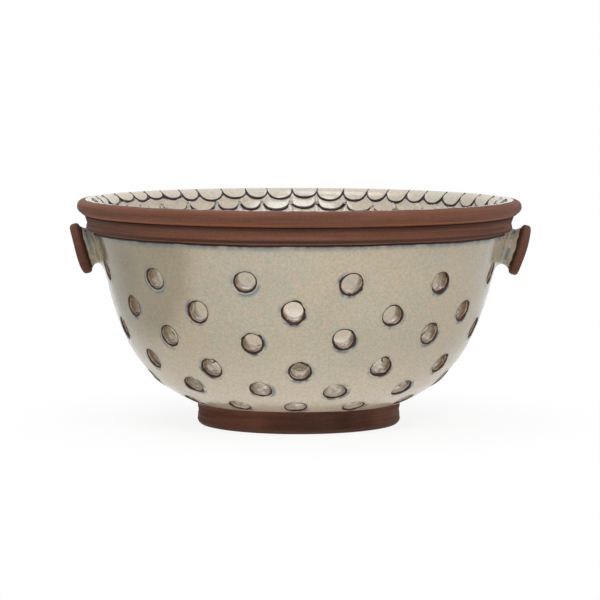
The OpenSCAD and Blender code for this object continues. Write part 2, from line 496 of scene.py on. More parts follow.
@dataclass
class HolePlan:
    """Where the drain holes lie, and the cells that share out the wall between them.

    The rows are staggered, so the wall falls into six-sided cells like a honeycomb: a cell spans
    from the row under its own to the row over it. Half-cells without a hole fill up the two ends.
    """

    wall: WallLine
    holes_in_row: int = 12
    holes_in_floor: int = 6
    floor_ring_r: float = 26.0
    row_shares: tuple[float, ...] = (0.087, 0.241, 0.381, 0.537, 0.662, 0.811)
    cell_steps: int = 8
    wide: float = math.radians(9.375)
    narrow: float = math.radians(5.625)
    front_hole: int = 9
    stray: float = 0.5
    nudges: tuple[tuple[tuple[float, float, float], ...], ...] = (
        ((1, -0.5, 0.4), (-1.5, -0.5, 0.3), (-3, -1, 0.4)),
        ((1, 1, 0.5), (0.5, 0.5, 0.3), (-1, -1, 0.4), (-1, -1, 0.5)),
        ((0.5, 1, 0.3), (-1, -1, 0.7), (0.5, -1.5, 0.6), (-1, 0, 0.8), (-1, -1.5, 0.5)),
        ((0.5, -0.5, 0.2), (0.5, -2, 0.9), (-1, 0, 0.7), (0, 0.5, 0.6)),
        ((0.5, 0, 0.7), (-1, 0, 0.6), (-1.5, 1, 1), (-1, -1.5, 0.7), (-0.5, -2, 0.9)),
        ((0, 0, 0.15), (0, 0.5, 0.1), (0, -0.5, 0.95), (-0.5, -1.5, 0.8)))
    floor_out: float = 18.0
    floor_in: float = -6.0
    floor_steps: tuple[int, ...] = (12, 32, 12, 8)
    heel_rows: int = 4

    def __post_init__(self) -> None:
        """Places the rows and strays each hole a little, the front ones as they are on the pot."""
        rng = np.random.default_rng(SEED)
        open_wall = self.wall.collar_run - self.wall.foot_run
        self.row_runs = self.wall.foot_run + np.array(self.row_shares) * open_wall
        self.pitch = FULL_TURN / self.holes_in_row
        rows = np.arange(len(self.row_runs))[:, None]
        self.cell_turn = (np.arange(self.holes_in_row) + rows % 2 / 2) * self.pitch
        reach = np.interp(self.row_runs, self.wall.run, self.wall.r)[:, None]
        shape = self.cell_turn.shape
        self.turn = self.cell_turn + rng.normal(0, self.stray, shape) / reach
        self.run = self.row_runs[:, None] + rng.normal(0, self.stray, shape)
        self.tone = rng.uniform(0, 1, shape)
        for row, nudged in enumerate(self.nudges):
            first = self.front_hole - len(nudged) // 2
            front = slice(first, first + len(nudged))
            degrees, up, tone = np.array(nudged).T
            self.turn[row, front] = self.cell_turn[row, front] + np.radians(degrees)
            self.run[row, front] = self.row_runs[row] + up
            self.tone[row, front] = tone
        self.ring_points = 2 * self.cell_steps * self.holes_in_row

    def outlined(self, corners: Array, steps: tuple[int, ...]) -> Array:
        """Points along the straight sides of polygons, each side in its own number of steps.

        Args:
            corners: one coordinate of the corners, polygons by corners.
            steps: how many steps each side has.

        Returns:
            That coordinate of the points, polygons by points.
        """
        following = np.roll(corners, -1, axis=1)
        sides = [corners[:, i, None] + (following - corners)[:, i, None] * np.arange(n) / n
                 for i, n in enumerate(steps)]
        return np.concatenate(sides, axis=1)

    def wall_holes(self, low: float, high: float) -> HoleGroup:
        """The holes of the rows, with cells that fill the wall from one run to another.

        Args:
            low: run of the lower end of the cells.
            high: run of their upper end.

        Returns:
            The group of holes.
        """
        lines = np.concatenate([[low], self.row_runs, [high]])
        row = np.repeat(np.arange(len(self.row_runs)), self.holes_in_row)[:, None]
        across = np.array([self.wide, self.narrow, -self.narrow, -self.wide, -self.narrow, self.narrow])
        corner_turn = self.cell_turn.reshape(-1, 1) + across
        corner_run = lines[row + np.array([1, 2, 2, 1, 0, 0])]
        steps = (self.cell_steps,) * 6
        group = HoleGroup(self.wall, self.turn.ravel(), self.run.ravel(), self.outlined(corner_turn, steps),
                          self.outlined(corner_run, steps), np.random.default_rng(SEED + 1))
        group.tone = self.tone.ravel()
        return group

    def floor_holes(self) -> HoleGroup:
        """The ring of holes in the floor, with cells from the middle hole's rim to the wall.

        Returns:
            The group of holes.
        """
        pitch = FULL_TURN / self.holes_in_floor
        turn = (np.arange(self.holes_in_floor) + 0.5) * pitch
        run = np.full(self.holes_in_floor, self.wall.run_at_radius(self.floor_ring_r))
        corner_turn = turn[:, None] + np.array([0.5, 0.5, -0.5, -0.5]) * pitch
        levels = [self.floor_in, self.floor_out, self.floor_out, self.floor_in]
        corner_run = np.tile(levels, (self.holes_in_floor, 1))
        return HoleGroup(self.wall, turn, run, self.outlined(corner_turn, self.floor_steps),
                         self.outlined(corner_run, self.floor_steps), np.random.default_rng(SEED + 2))

    def centre_hole(self) -> CentreHole:
        """The hole in the middle of the floor.

        Returns:
            The hole, as a group of one.
        """
        count = self.floor_steps[-1] * self.holes_in_floor
        turn = -full_turns(count)[None]
        run = np.full((1, count), self.floor_in)
        middle = np.array([-self.wall.flat_r])
        return CentreHole(self.wall, np.zeros(1), middle, turn, run, np.random.default_rng(SEED + 3))

    def half_cells(self, row: int, end: float) -> tuple[Array, Array]:
        """Grids of the half-cells that fill up the wall past its first or its last row.

        Args:
            row: the first row, 0, or the last one, -1.
            end: the run that they reach to.

        Returns:
            The turns and the runs, cells by rows by points, rows going up the wall.
        """
        up = end > self.row_runs[row]
        away = np.linspace(0, 1, self.cell_steps + 1)[:: 1 if up else -1]
        half = self.narrow + (self.wide - self.narrow) * away
        middle = self.cell_turn[row] + self.pitch / 2
        across = np.linspace(-1, 1, self.cell_steps + 1)
        turn = middle[:, None, None] + half[:, None] * across
        run = self.row_runs[row] + (end - self.row_runs[row]) * away[:, None]
        return turn, np.broadcast_to(run, turn.shape)

    def end_turns(self, row: int) -> tuple[Array, Array]:
        """Turns of the points at the free end of the cells past a row, and the same points evenly spread.

        Args:
            row: the first row, 0, or the last one, -1.

        Returns:
            The turns as the cells have them, and evenly spread.
        """
        part = 2 * np.arange(self.cell_steps) / self.cell_steps - 1
        sector = np.concatenate([self.narrow * part, self.pitch / 2 + self.wide * part])
        uneven = (self.cell_turn[row][:, None] + sector).ravel()
        return uneven, uneven[0] + full_turns(self.ring_points)

    def heel(self, low: float) -> tuple[Array, Array]:
        """Rows of points that join the floor's cells to the wall's.

        Args:
            low: the run at which the wall's cells start.

        Returns:
            The turns and the runs.
        """
        uneven, even = self.end_turns(0)
        share = np.linspace(0, 1, self.heel_rows)[:, None]
        return even + (uneven - even) * share, self.floor_out + (low - self.floor_out) * share

    def all_holes(self, low: float, high: float) -> tuple[HoleGroup, ...]:
        """Every drain hole, with cells that fill the wall from one run to another."""
        return self.wall_holes(low, high), self.floor_holes(), self.centre_hole()


class Ring(NamedTuple):
    """A ring of points on a skin's way from a cell's edge to its hole and on through the bore.

    It has its share of the way to the hole, its growth, its lift and its distance past the hole's edge.
    """

    share: float
    grow: float
    lift: float
    gap: float


def pierce(skin: Skin, holes: HoleGroup, rings: list[Ring], facing: Facing, swell: float,
           **values: float) -> None:
    """Adds the cells of a group of holes to a skin.

    Each ring is drawn the ring's share of the way along straight lines, on the unrolled wall, from
    the cell's edge to the hole's outline. The glaze swells a little just off the edge of a hole.

    Args:
        skin: the skin to add to.
        holes: the holes and their cells.
        rings: the rings to draw.
        facing: the way that the skin looks.
        swell: height of the swelling round a hole.
        values: more attributes for all the points.
    """
    circles = [holes.circle(ring.grow, ring.lift) for ring in rings]
    ring_turn = np.stack([turn for turn, _ in circles], axis=1)
    ring_run = np.stack([run for _, run in circles], axis=1)
    share, _, lift, past = (column[None, :, None] for column in np.array(rings).T)
    turn = holes.edge_turn[:, None] * (1 - share) + ring_turn * share
    run = holes.edge_run[:, None] * (1 - share) + ring_run * share
    reach = np.interp(holes.run, holes.wall.run, holes.wall.r)[:, None, None]
    far = np.hypot((holes.edge_turn[:, None] - ring_turn) * reach, holes.edge_run[:, None] - ring_run)
    gap = past + (1 - share) * far
    swollen = swell * np.exp(-((gap - SWELL_GAP) / SWELL_REACH) ** 2)
    raised = np.where(past == 0, swollen + holes.wall.ripple(turn, run), 0)
    points = holes.wall.place(turn, run, lift + facing.value * raised)
    low = -np.sin(holes.angle + holes.droop[:, None])[:, None]
    if "break_gap" in values and facing is Facing.OUT:
        values["break_gap"] = values["break_gap"] - run
    skin.add_stack(points, flip=facing is Facing.IN, hole_gap=gap, hole_low=low,
                   hole_tone=holes.tone[:, None, None], **values)


@dataclass
class GlazeCoat:
    """What the two glaze coats share: how a coat runs through a drain hole."""

    plan: HolePlan
    facing: Facing
    lip_r: float = 0.8
    bedded: float = 0.15
    lining: float = 0.3
    swell: float = 0.2
    face_shares: tuple[float, ...] = (0, 0.22, 0.42, 0.6, 0.75, 0.87, 0.95, 1)
    lip_steps: int = 5

    def __post_init__(self) -> None:
        """Sets the lifts of the coat's face and of its hidden back."""
        wall = self.plan.wall
        clay = 0.0 if self.facing is Facing.OUT else -wall.wall_t
        self.face = clay + self.facing.value * wall.glaze_t
        self.back = clay - self.facing.value * self.bedded
        self.middle = -wall.wall_t / 2

    def rings(self) -> list[Ring]:
        """Rings along the face, round the lip of the hole, down half the bore and back under the coat.

        Returns:
            The rings, in that order.
        """
        rings = [Ring(share, self.lip_r, self.face, 0) for share in self.face_shares]
        for angle in np.linspace(0, math.pi / 2, self.lip_steps + 1)[1:]:
            sunk = self.lip_r * (1 - math.cos(angle))
            rings.append(Ring(1, self.lip_r * (1 - math.sin(angle)), self.face - self.facing.value * sunk,
                              -self.lip_r * angle))
        lip_end = self.face - self.facing.value * self.lip_r
        for part in (0.5, 1):
            depth = (self.middle - lip_end) * part
            rings.append(Ring(1, 0, lip_end + depth, -self.lip_r * math.pi / 2 - abs(depth)))
        hidden = ((1, self.middle), (1, self.back), (0.5, self.back), (0, self.back))
        return rings + [Ring(share, self.lining, lift, -FAR_GAP) for share, lift in hidden]

    def band(self, skin: Skin, turn: Array, run: Array, lift: Array, break_gap: Array | float) -> None:
        """Adds plain rows round the bowl, going up the face and over the coat's edge."""
        skin.add_stack(self.plan.wall.place(turn, run, lift), flip=self.facing is Facing.IN,
                       break_gap=break_gap, **FAR_FROM_HOLES)

    def fill_ends(self, skin: Skin, low: float, high: float, edge_run: float) -> None:
        """Adds the half-cells at both ends of the rows, on the face and on the hidden back.

        Args:
            skin: the skin to add to.
            low: run of the lower end of the cells.
            high: run of their upper end.
            edge_run: run of the coat's upper edge.
        """
        for row, end in ((0, low), (-1, high)):
            turn, run = self.plan.half_cells(row, end)
            gap = edge_run - run if self.facing is Facing.OUT else FAR_GAP
            lift = self.face + self.facing.value * self.plan.wall.ripple(turn, run)
            for level, flip in ((lift, False), (self.back, True)):
                skin.add_stack(self.plan.wall.place(turn, run, level), closed=False,
                               flip=flip != (self.facing is Facing.IN), break_gap=gap, **FAR_FROM_HOLES)


@dataclass
class OutsideCoat(GlazeCoat):
    """The glaze outside, from the foot ring to a bare strip under the collar."""

    facing: Facing = Facing.OUT
    bare_strip: float = 0.8
    under_foot: float = 0.6
    above_holes: float = 9.5
    edge_round: float = 0.35
    edge_shares: tuple[float, ...] = (0, 0.25, 0.5, 0.75, 0.95)
    waver: tuple[tuple[float, int, float], ...] = ((0.12, 5, 1), (0.08, 11, 0), (0.05, 23, 2))

    def build(self, material: bpy.types.Material) -> bpy.types.Object:
        """Makes the coat and dresses it.

        Args:
            material: the glaze.

        Returns:
            The finished piece.
        """
        skin = Skin("outside_coat")
        wall = self.plan.wall
        low = wall.foot_run - self.under_foot
        high = self.plan.row_runs[-1] + self.above_holes
        edge = wall.collar_run - self.bare_strip
        pierce(skin, self.plan.wall_holes(low, high), self.rings(), self.facing, self.swell, break_gap=edge)
        self.fill_ends(skin, low, high, edge)
        self.lower_end(skin, low, edge)
        self.upper_edge(skin, high, edge)
        return skin.to_piece(material, Slot.OUTSIDE_GLAZE, "outside_glaze")

    def lower_end(self, skin: Skin, low: float, edge: float) -> None:
        """Closes the coat where the foot ring hides its end.

        Args:
            skin: the skin to add to.
            low: run of the lower end of the cells.
            edge: run of the coat's upper edge.
        """
        uneven, _ = self.plan.end_turns(0)
        lift = np.array([self.back, self.face])[:, None]
        self.band(skin, uneven, np.full((2, 1), low), lift, edge - low)

    def upper_edge(self, skin: Skin, high: float, edge: float) -> None:
        """Carries the coat up to its rounded, slightly wavering upper edge and back down behind it.

        Args:
            skin: the skin to add to.
            high: run of the upper end of the cells.
            edge: run of the edge.
        """
        uneven, even = self.plan.end_turns(-1)
        crown = edge + sum(size * np.sin(waves * even + phase) for size, waves, phase in self.waver)
        shares = np.array(self.edge_shares)[:, None]
        face_run = high + (crown - self.edge_round - high) * shares
        face_turn = uneven + (even - uneven) * np.clip(shares * 2, 0, 1)
        angle = np.linspace(0, math.pi / 2, 4)[:, None]
        top_run = crown - self.edge_round * (1 - np.sin(angle))
        top_lift = self.face - self.edge_round * (1 - np.cos(angle))
        turn = np.vstack([face_turn, np.broadcast_to(even, top_run.shape), even[None], uneven[None]])
        run = np.vstack([face_run, top_run, crown[None], np.full((1, len(even)), high)])
        face_lift = self.face + self.plan.wall.ripple(face_turn, face_run)
        lift = np.vstack([face_lift, np.broadcast_to(top_lift, top_run.shape),
                          np.full((2, len(even)), self.back)])
        self.band(skin, turn, run, lift, crown - run)


@dataclass
class InnerRim:
    """The line of the inside glaze over the rim: up the straight wall, round the shoulder, along the crest.

    A rise along this line starts where the shoulder begins and is below zero down the wall.
    """

    wall: WallLine
    crest_end_r: float = 97.9
    below: float = 40.0
    beyond: float = 6.0
    steps: int = 3000

    def __post_init__(self) -> None:
        """Sums up the line from its direction, as the outer line of the clay is."""
        wall = self.wall
        radius = wall.lip_inner_r + wall.glaze_t
        start = wall.shoulder() - radius * outward(wall.wall_lean)
        self.arc_len = radius * (math.pi / 2 - wall.wall_lean)
        self.rise = np.linspace(-self.below, self.arc_len + self.beyond, self.steps)
        self.lean, out, up = traced(self.rise, [0, self.arc_len], [wall.wall_lean, math.pi / 2])
        self.r = start[0] + out - np.interp(0, self.rise, out)
        self.z = start[1] + up - np.interp(0, self.rise, up)
        sunk = (wall.wall_t + wall.glaze_t) * math.sin(wall.wall_lean)
        self.start_run = wall.run_at_height(start[1] - sunk)
        self.end = float(np.interp(self.crest_end_r, self.r, self.rise))

    def place(self, turn: Array, rise: Array, proud: Array) -> Array:
        """Places in space: the point of the line, moved inwards along its normal, and turned.

        Args:
            turn: turns round the bowl.
            rise: rises along the line.
            proud: how far the places stand proud of the line.

        Returns:
            An array with one more axis, for x, y and z.
        """
        turn, rise, proud = np.broadcast_arrays(turn, rise, proud)
        lean = np.interp(rise, self.rise, self.lean)
        radius = np.interp(rise, self.rise, self.r) - proud * np.cos(lean)
        z = np.interp(rise, self.rise, self.z) + proud * np.sin(lean)
        return turned(radius, turn, z)

    def at_depth(self, depth: Array) -> Array:
        """The rise at a depth below the crest."""
        slope = self.rise <= self.arc_len
        return np.interp(self.wall.bowl_h - depth, self.z[slope], self.rise[slope])


@dataclass(frozen=True)
class ScaleRow:
    """One row of scales: depths of its cusps and tips, and the scales at the back as they are on the pot.

    Each of these is the turn of its cusp, in degrees, and the depth of its tip. The first number
    counts how many scales come before them. A row may sag: how much lower its cusps lie at a turn.
    Scales stand apart by a share of their width to each side of a cusp. The line along the edge is
    bold, as if it lay nearer by that much, and faint at the cusps, as if it lay further off, which
    it comes to all the more suddenly the higher that power is.
    """

    cusp: float
    tip: float
    first: int
    known: tuple[tuple[float, float], ...]
    lower: tuple[tuple[float, float], ...] = ((0.0, 0.0),)
    apart: float = 0.006
    bold: float = 0.0
    faint: float = 0.34
    sudden: float = 1.0


@dataclass
class ScaleRows:
    """The rows of fish scales round the inside of the rim.

    A scale's lower edge is half an oval: across it goes by the cosine of an angle and down by a
    power of its sine, from a cusp beside its neighbour's. Each scale swells towards its
    edge and then drops to the next row. Widths, depths and phases wander, as each is pressed by hand.
    """

    rim: InnerRim
    scales: int = 48
    steps: int = 16
    rows_of_scales: tuple[ScaleRow, ...] = (
        ScaleRow(0.3, 5.2, 0, (
            (16.5, 5.9), (25.5, 6.4), (33.5, 6.4), (41.5, 6), (49, 5.7), (55.5, 6), (62.5, 5.5),
            (69, 5.7), (76.5, 5.7), (84.5, 4.4), (92, 5.1), (99.5, 4.7), (106, 4.6), (113.5, 5.5),
            (121.5, 5.2), (127.5, 4.2), (134.5, 3.9), (141, 4.4), (147.5, 4), (156, 5), (165, 5))),
        ScaleRow(6.4, 10, 5, (
            (48.5, 11.2), (58.5, 11.2), (66.5, 11), (75.5, 10.2), (84.5, 9.4), (92.5, 10.4),
            (101.5, 10), (108.5, 10.2), (116, 10.6), (126, 10.8), (136.5, 10.8), (146.5, 10.6)),
            ((20, 0), (40, 2), (62, 2.3), (68.5, 1.4), (76, 0)), **SET_APART),
        ScaleRow(11.8, 15.4, 10, ((92, 15.4),), **SET_APART))
    top_depth: float = 0.15
    proud: float = 0.55
    swell_power: float = 1.6
    ledge: float = 0.5
    drop_power: float = 1.5
    finer: int = 4
    nearby: int = 2
    width_stray: float = 0.09
    depth_stray: float = 0.35
    fullness: float = 0.7
    face_shares: tuple[float, ...] = (0.0, 0.2, 0.4, 0.6, 0.78, 0.92, 1.0)
    ledge_shares: tuple[float, ...] = (0.35, 0.75)

    def __post_init__(self) -> None:
        """Lays out the edges of each row's scales, the ones not known with a stray of their own."""
        rng = np.random.default_rng(SEED + 4)
        angle = np.linspace(0, math.pi, self.steps)
        fall = np.abs(np.sin(angle)) ** self.fullness
        self.edges: list[tuple[Array, Array, Array]] = []
        for row in self.rows_of_scales:
            known = np.array(row.known)
            spare = self.scales - len(known) + 1
            first, last = np.radians(known[[0, -1], 0])
            pitch = (first + FULL_TURN - last) / spare
            strays = rng.normal(0, self.width_stray, spare - 1)
            bound = np.append(np.radians(known[:, 0]), last + (np.arange(1, spare) + strays) * pitch)
            width = np.diff(np.append(bound, first + FULL_TURN))
            tip = np.append(known[:, 1], row.tip + rng.normal(0, self.depth_stray, spare - 1))
            share = row.apart + (1 - 2 * row.apart) * (1 - np.cos(angle)) / 2
            turn = bound[:, None] + width[:, None] * share
            cusp = row.cusp + np.interp(np.degrees(turn) % 360, *np.array(row.lower).T)
            depth = cusp + (tip[:, None] - cusp) * fall
            ahead = row.first * self.steps
            fade = np.tile(row.faint * (1 - fall) ** row.sudden - row.bold, self.scales)
            self.edges.append((np.roll(turn, ahead).ravel(), np.roll(depth, ahead).ravel(), fade))
        self.count = self.scales * self.steps

    def clearance(self, turn: Array, depth: Array, edge: tuple[Array, Array, Array]) -> Array:
        """Distances along the glaze from points to the nearest point of a row's scale edge.

        The edge is taken in quarter steps, and only the nearest two scales to each side count. A part
        of the edge near a cusp counts as further off than it is, as the line along it thins out there.

        Args:
            turn: turns of the points.
            depth: depths of the points below the crest.
            edge: turns and depths along the edge, and how faint its line is.

        Returns:
            One distance to a point.
        """
        step = np.arange(self.count + 1)
        part = np.arange(self.finer * self.count) / self.finer
        start = edge[0][0] + FULL_TURN
        edge_turn = np.interp(part, step, np.append(np.unwrap(edge[0]), start))
        edge_rise = np.interp(part, step, self.rim.at_depth(np.append(edge[1], edge[1][0])))
        edge_fade = np.interp(part, step, np.append(edge[2], edge[2][0]))
        reach = self.nearby * self.finer * self.steps
        window = (self.finer * step[:-1, None] + np.arange(-reach, reach + 1)) % len(part)
        across = (turn[:, None] - edge_turn[window] + math.pi) % FULL_TURN - math.pi
        along = self.rim.at_depth(depth)[:, None] - edge_rise[window]
        return (np.hypot(across * self.rim.wall.lip_r, along) + edge_fade[window]).min(axis=1)

    def rows(self) -> tuple[Array, Array, Array, Array]:
        """Rows of points from the crest down past the lowest scales.

        Returns:
            The turns, rises, how proud they stand, and distances from the nearest scale edge.
        """
        rows: list[tuple[Array, Array, Array, Array]] = []
        above_turn = self.edges[0][0]
        above = np.full(self.count, self.top_depth)
        for number, (turn, depth, fade) in enumerate(self.edges):
            turn = turn + FULL_TURN * np.round((above_turn - turn) / FULL_TURN)
            near = self.edges[max(number - 1, 0):number + 1]
            for share in self.face_shares:
                row_turn = above_turn + (turn - above_turn) * share
                row_depth = above + (depth - above) * share
                proud = np.full(self.count, self.proud * share**self.swell_power)
                gap = np.min([self.clearance(row_turn, row_depth, edge) for edge in near], axis=0)
                rows.append((row_turn, row_depth, proud, gap))
            for share in self.ledge_shares:
                proud = np.full(self.count, self.proud * (1 - share) ** self.drop_power)
                rows.append((turn, depth + self.ledge * share, proud, fade))
            above_turn = turn
            above = depth + self.ledge
        turns, depths, prouds, gaps = np.array(rows).transpose(1, 0, 2)
        return turns, self.rim.at_depth(depths), prouds, gaps


@dataclass
class InsideCoat(GlazeCoat):
    """The glaze inside, from the floor over the scales to the crest of the lip."""

    facing: Facing = Facing.IN
    face_shares: tuple[float, ...] = (0, 0.3, 0.55, 0.75, 0.9, 1)
    lip_steps: int = 4
    low_run: float = 22.0
    above_holes: float = 8.0
    even_run: float = 2.0
    split_run: float = 4.0
    plain_shares: tuple[float, ...] = (0, 0.33, 0.66, 1)
    crest_shares: tuple[float, ...] = (0.3, 0.7, 0.9, 0.98, 1)
    crest_prouds: tuple[float, ...] = (0, 0, -0.02, -0.1, -0.25)
    back_shares: tuple[float, ...] = (1, 0.5, 0)
    unbroken: float = 0.45

    def build(self, material: bpy.types.Material) -> bpy.types.Object:
        """Makes the coat and dresses it.

        Args:
            material: the glaze.

        Returns:
            The finished piece.
        """
        skin = Skin("inside_coat")
        high = self.plan.row_runs[-1] + self.above_holes
        for holes in self.plan.all_holes(self.low_run, high):
            pierce(skin, holes, self.rings(), self.facing, self.swell, break_gap=FAR_GAP)
        self.fill_ends(skin, self.low_run, high, FAR_GAP)
        self.heel(skin)
        self.rim(skin, high)
        return skin.to_piece(material, Slot.INSIDE_GLAZE, "inside_glaze")

    def heel(self, skin: Skin) -> None:
        """Adds the band between the floor's cells and the wall's, on the face and on the back.

        Args:
            skin: the skin to add to.
        """
        turn, run = self.plan.heel(self.low_run)
        self.band(skin, turn, run, self.face - self.plan.wall.ripple(turn, run), FAR_GAP)
        self.band(skin, turn[::-1], run[::-1], np.full_like(run, self.back), FAR_GAP)

    def rim(self, skin: Skin, high: float) -> None:
        """Adds the rim: plain wall, scales, crest and hidden back, four points to each one of the wall.

        Args:
            skin: the skin to add to.
            high: run of the upper end of the wall's cells.
        """
        rim = InnerRim(self.plan.wall)
        scales = ScaleRows(rim)
        uneven, even = self.plan.end_turns(-1)
        fine = even[0] + full_turns(scales.count)
        bed = -(self.plan.wall.glaze_t + self.bedded)
        low, level, split = (high - rim.start_run + step for step in (0, self.even_run, self.split_run))
        turn, rise, proud, gap = scales.rows()
        first = int(np.round((fine[0] - turn[0, 0]) / (FULL_TURN / scales.count)))
        turn, rise, proud, gap = (np.roll(rows, -first, axis=1) for rows in (turn, rise, proud, gap))
        turn = turn + FULL_TURN * np.round((fine - turn) / FULL_TURN)
        self.rim_band(skin, rim, np.vstack([uneven, even]), [[low], [level]], [[0], [0]], FAR_GAP)
        self.rim_band(skin, rim, np.vstack([even, uneven]), [[level], [low]], [[bed], [bed]], FAR_GAP)
        self.fan(skin, rim, even, fine, level, split, 0.0)
        self.fan(skin, rim, even, fine, level, split, bed)
        share = np.array(self.plain_shares)[:, None]
        plain_turn = fine + (turn[-1] - fine) * share
        plain_rise = split + (rise[-1] - self.plan.wall.glaze_t - split) * share
        over_share = np.array(self.crest_shares + self.back_shares)[:, None]
        crest = rim.arc_len + (rim.end - rim.arc_len) * over_share
        crest_proud = np.array(self.crest_prouds + (bed,) * len(self.back_shares))[:, None]
        edge_gap = rim.end - crest + self.unbroken
        up_turn = np.vstack([plain_turn, turn[::-1]])
        up_rise = np.vstack([plain_rise, rise[::-1]])
        up_proud = np.vstack([np.zeros_like(plain_rise), proud[::-1]])
        up_gap = np.vstack([np.full_like(plain_rise, FAR_GAP), gap[::-1]])
        over = np.broadcast_to(turn[0], (len(crest), scales.count))
        down_rise = np.array([0, split / 2, split])[:, None]
        down_turn = np.vstack([turn[0], (turn[0] + fine) / 2, fine])
        down_proud = np.full_like(down_rise, bed)
        down_gap = np.full_like(down_rise, FAR_GAP)
        wide = (len(crest) + len(down_rise), scales.count)
        self.rim_band(
            skin, rim, np.vstack([up_turn, over, down_turn]),
            np.vstack([up_rise, np.broadcast_to(np.vstack([crest, down_rise]), wide)]),
            np.vstack([up_proud, np.broadcast_to(np.vstack([crest_proud, down_proud]), wide)]),
            np.vstack([up_gap, np.broadcast_to(np.vstack([edge_gap, down_gap]), wide)]))

    def rim_band(self, skin: Skin, rim: InnerRim, turn: Array, rise: Array, proud: Array,
                 break_gap: Array | float) -> None:
        """Adds rows of points along the rim's line."""
        points = rim.place(turn, np.array(rise), np.array(proud))
        skin.add_stack(points, flip=True, break_gap=break_gap, **FAR_FROM_HOLES)

    def fan(self, skin: Skin, rim: InnerRim, even: Array, fine: Array, level: float, split: float,
            proud: float) -> None:
        """Joins the wall's coarse ring to the rim's fine one by seven-sided faces, one to a coarse step.

        Args:
            skin: the skin to add to.
            rim: the line that both rings lie on.
            even: turns of the coarse ring.
            fine: turns of the fine ring, four to a coarse one.
            level: rise of the coarse ring.
            split: rise of the fine ring.
            proud: how proud both stand, below zero for the hidden back.
        """
        coarse = np.arange(len(even))
        past = np.roll(coarse, -1)
        ends = len(even) + np.stack([4 * past] + [4 * coarse + i for i in (3, 2, 1, 0)], axis=1)
        faces = np.column_stack([coarse, past, ends])
        rise = np.repeat([level, split], [len(even), len(fine)])
        points = rim.place(np.concatenate([even, fine]), rise, proud)
        looks_in = proud >= 0
        skin.add(points, faces[:, ::-1] if looks_in else faces, break_gap=FAR_GAP, **FAR_FROM_HOLES)


@dataclass
class ClayWall:
    """The pierced clay itself, which shows under the bowl and in the bare strip below the collar."""

    plan: HolePlan
    bored: float = 0.35
    edge_r: float = 0.5
    low_run: float = 22.0
    above_holes: float = 8.0
    even_run: float = 2.0
    short: float = 1.0

    def rings(self) -> list[Ring]:
        """Rings along the outer face, through the bore and back along the inner face.

        Returns:
            The rings, in that order.
        """
        inner = -self.plan.wall.wall_t
        rings = [Ring(share, self.bored + self.edge_r, 0, 0) for share in (0, 0.4, 0.75, 1)]
        rings.append(Ring(1, self.bored + self.edge_r * 0.3, -self.edge_r * 0.3, -self.edge_r * 0.7))
        rings.append(Ring(1, self.bored, -self.edge_r, -self.edge_r * 1.5))
        return rings + [Ring(share, self.bored, inner, inner) for share in (1, 0.5, 0)]

    def build(self, material: bpy.types.Material) -> bpy.types.Object:
        """Makes the wall and dresses it.

        Args:
            material: the clay.

        Returns:
            The finished piece.
        """
        skin = Skin("clay_wall")
        plan = self.plan
        wall = plan.wall
        high = plan.row_runs[-1] + self.above_holes
        for holes in plan.all_holes(self.low_run, high):
            pierce(skin, holes, self.rings(), Facing.OUT, 0.0)
        grids = ((plan.half_cells(0, self.low_run), False), (plan.half_cells(-1, high), False),
                 (plan.heel(self.low_run), True))
        for (turn, run), closed in grids:
            skin.add_stack(wall.place(turn, run, wall.ripple(turn, run)), closed, **FAR_FROM_HOLES)
            skin.add_stack(wall.place(turn, run, -wall.wall_t), closed, flip=True, **FAR_FROM_HOLES)
        uneven, even = plan.end_turns(-1)
        level = high + self.even_run
        top = wall.run_at_height(wall.seat_z) - self.short
        run = np.array([high, level, wall.collar_run - self.even_run, top, top, level, high])[:, None]
        lift = np.array([0, 0, 0, 0, -1, -1, -1])[:, None] * wall.wall_t
        turn = np.vstack([uneven] + [even] * 5 + [uneven])
        lift = np.where(lift == 0, wall.ripple(turn, run), lift)
        skin.add_stack(wall.place(turn, run, lift), **FAR_FROM_HOLES)
        return skin.to_piece(material, Slot.CLAY_BODY, "bowl_wall")


@dataclass(frozen=True)
class RingMark:
    """A soft line round a ring: rusty above zero, as dust on the foot and as a painted highlight along the
    lip's lower edge; dark below zero, as painted shade under the rim.
    """

    spot: Array
    reach: float
    amount: float


@dataclass
class TurnedPiece:
    """A ring of bare clay: a closed section carried round the bowl, with fine lines left by the tool."""

    name: str
    nodes: tuple[str, ...]
    section: Array
    # Soft lines round the ring: rust for dust and a painted highlight, dark for painted shade.
    wears: tuple[RingMark, ...] = ()
    around: int = 400
    spacing: float = 0.32
    chatter: float = 0.035
    smooth: float = 0.7
    seed: int = 0

    def build(self, material: bpy.types.Material) -> bpy.types.Object:
        """Makes the ring and dresses it.

        The chatter is three sets of random steps along the section, smoothed. One goes all the way
        round, and the others rise and die out by a slow and a quicker wave of the turn.

        Args:
            material: the clay.

        Returns:
            The finished piece.
        """
        rng = np.random.default_rng(SEED + self.seed)
        section = resampled(self.section, self.spacing)
        turn = full_turns(self.around)
        lines = rng.normal(0, self.chatter, (3, len(section) - 1))
        lines = (lines + np.roll(lines, 1, axis=1) * self.smooth
                 + np.roll(lines, -1, axis=1) * self.smooth) / (2 * self.smooth)
        lines = np.column_stack([lines, lines[:, 0]])
        blend = 0.5 + 0.5 * np.sin(turn * 2 + 1.3)
        rough = lines[0][:, None] + lines[1][:, None] * blend + lines[2][:, None] * np.sin(turn * 5)
        # Per point: above zero rust (dust, painted highlight), below zero dark (painted shade).
        wear = sum(line.amount * np.exp(-np.sum((section - line.spot) ** 2, axis=1) / line.reach**2)
                   for line in self.wears)
        skin = Skin(self.name)
        skin.add_stack(turned(section[:, 0, None] + rough, turn, section[:, 1, None]),
                       wear=np.broadcast_to(wear, len(section))[:, None])
        return skin.to_piece(material, Slot.BARE_CLAY, *self.nodes)


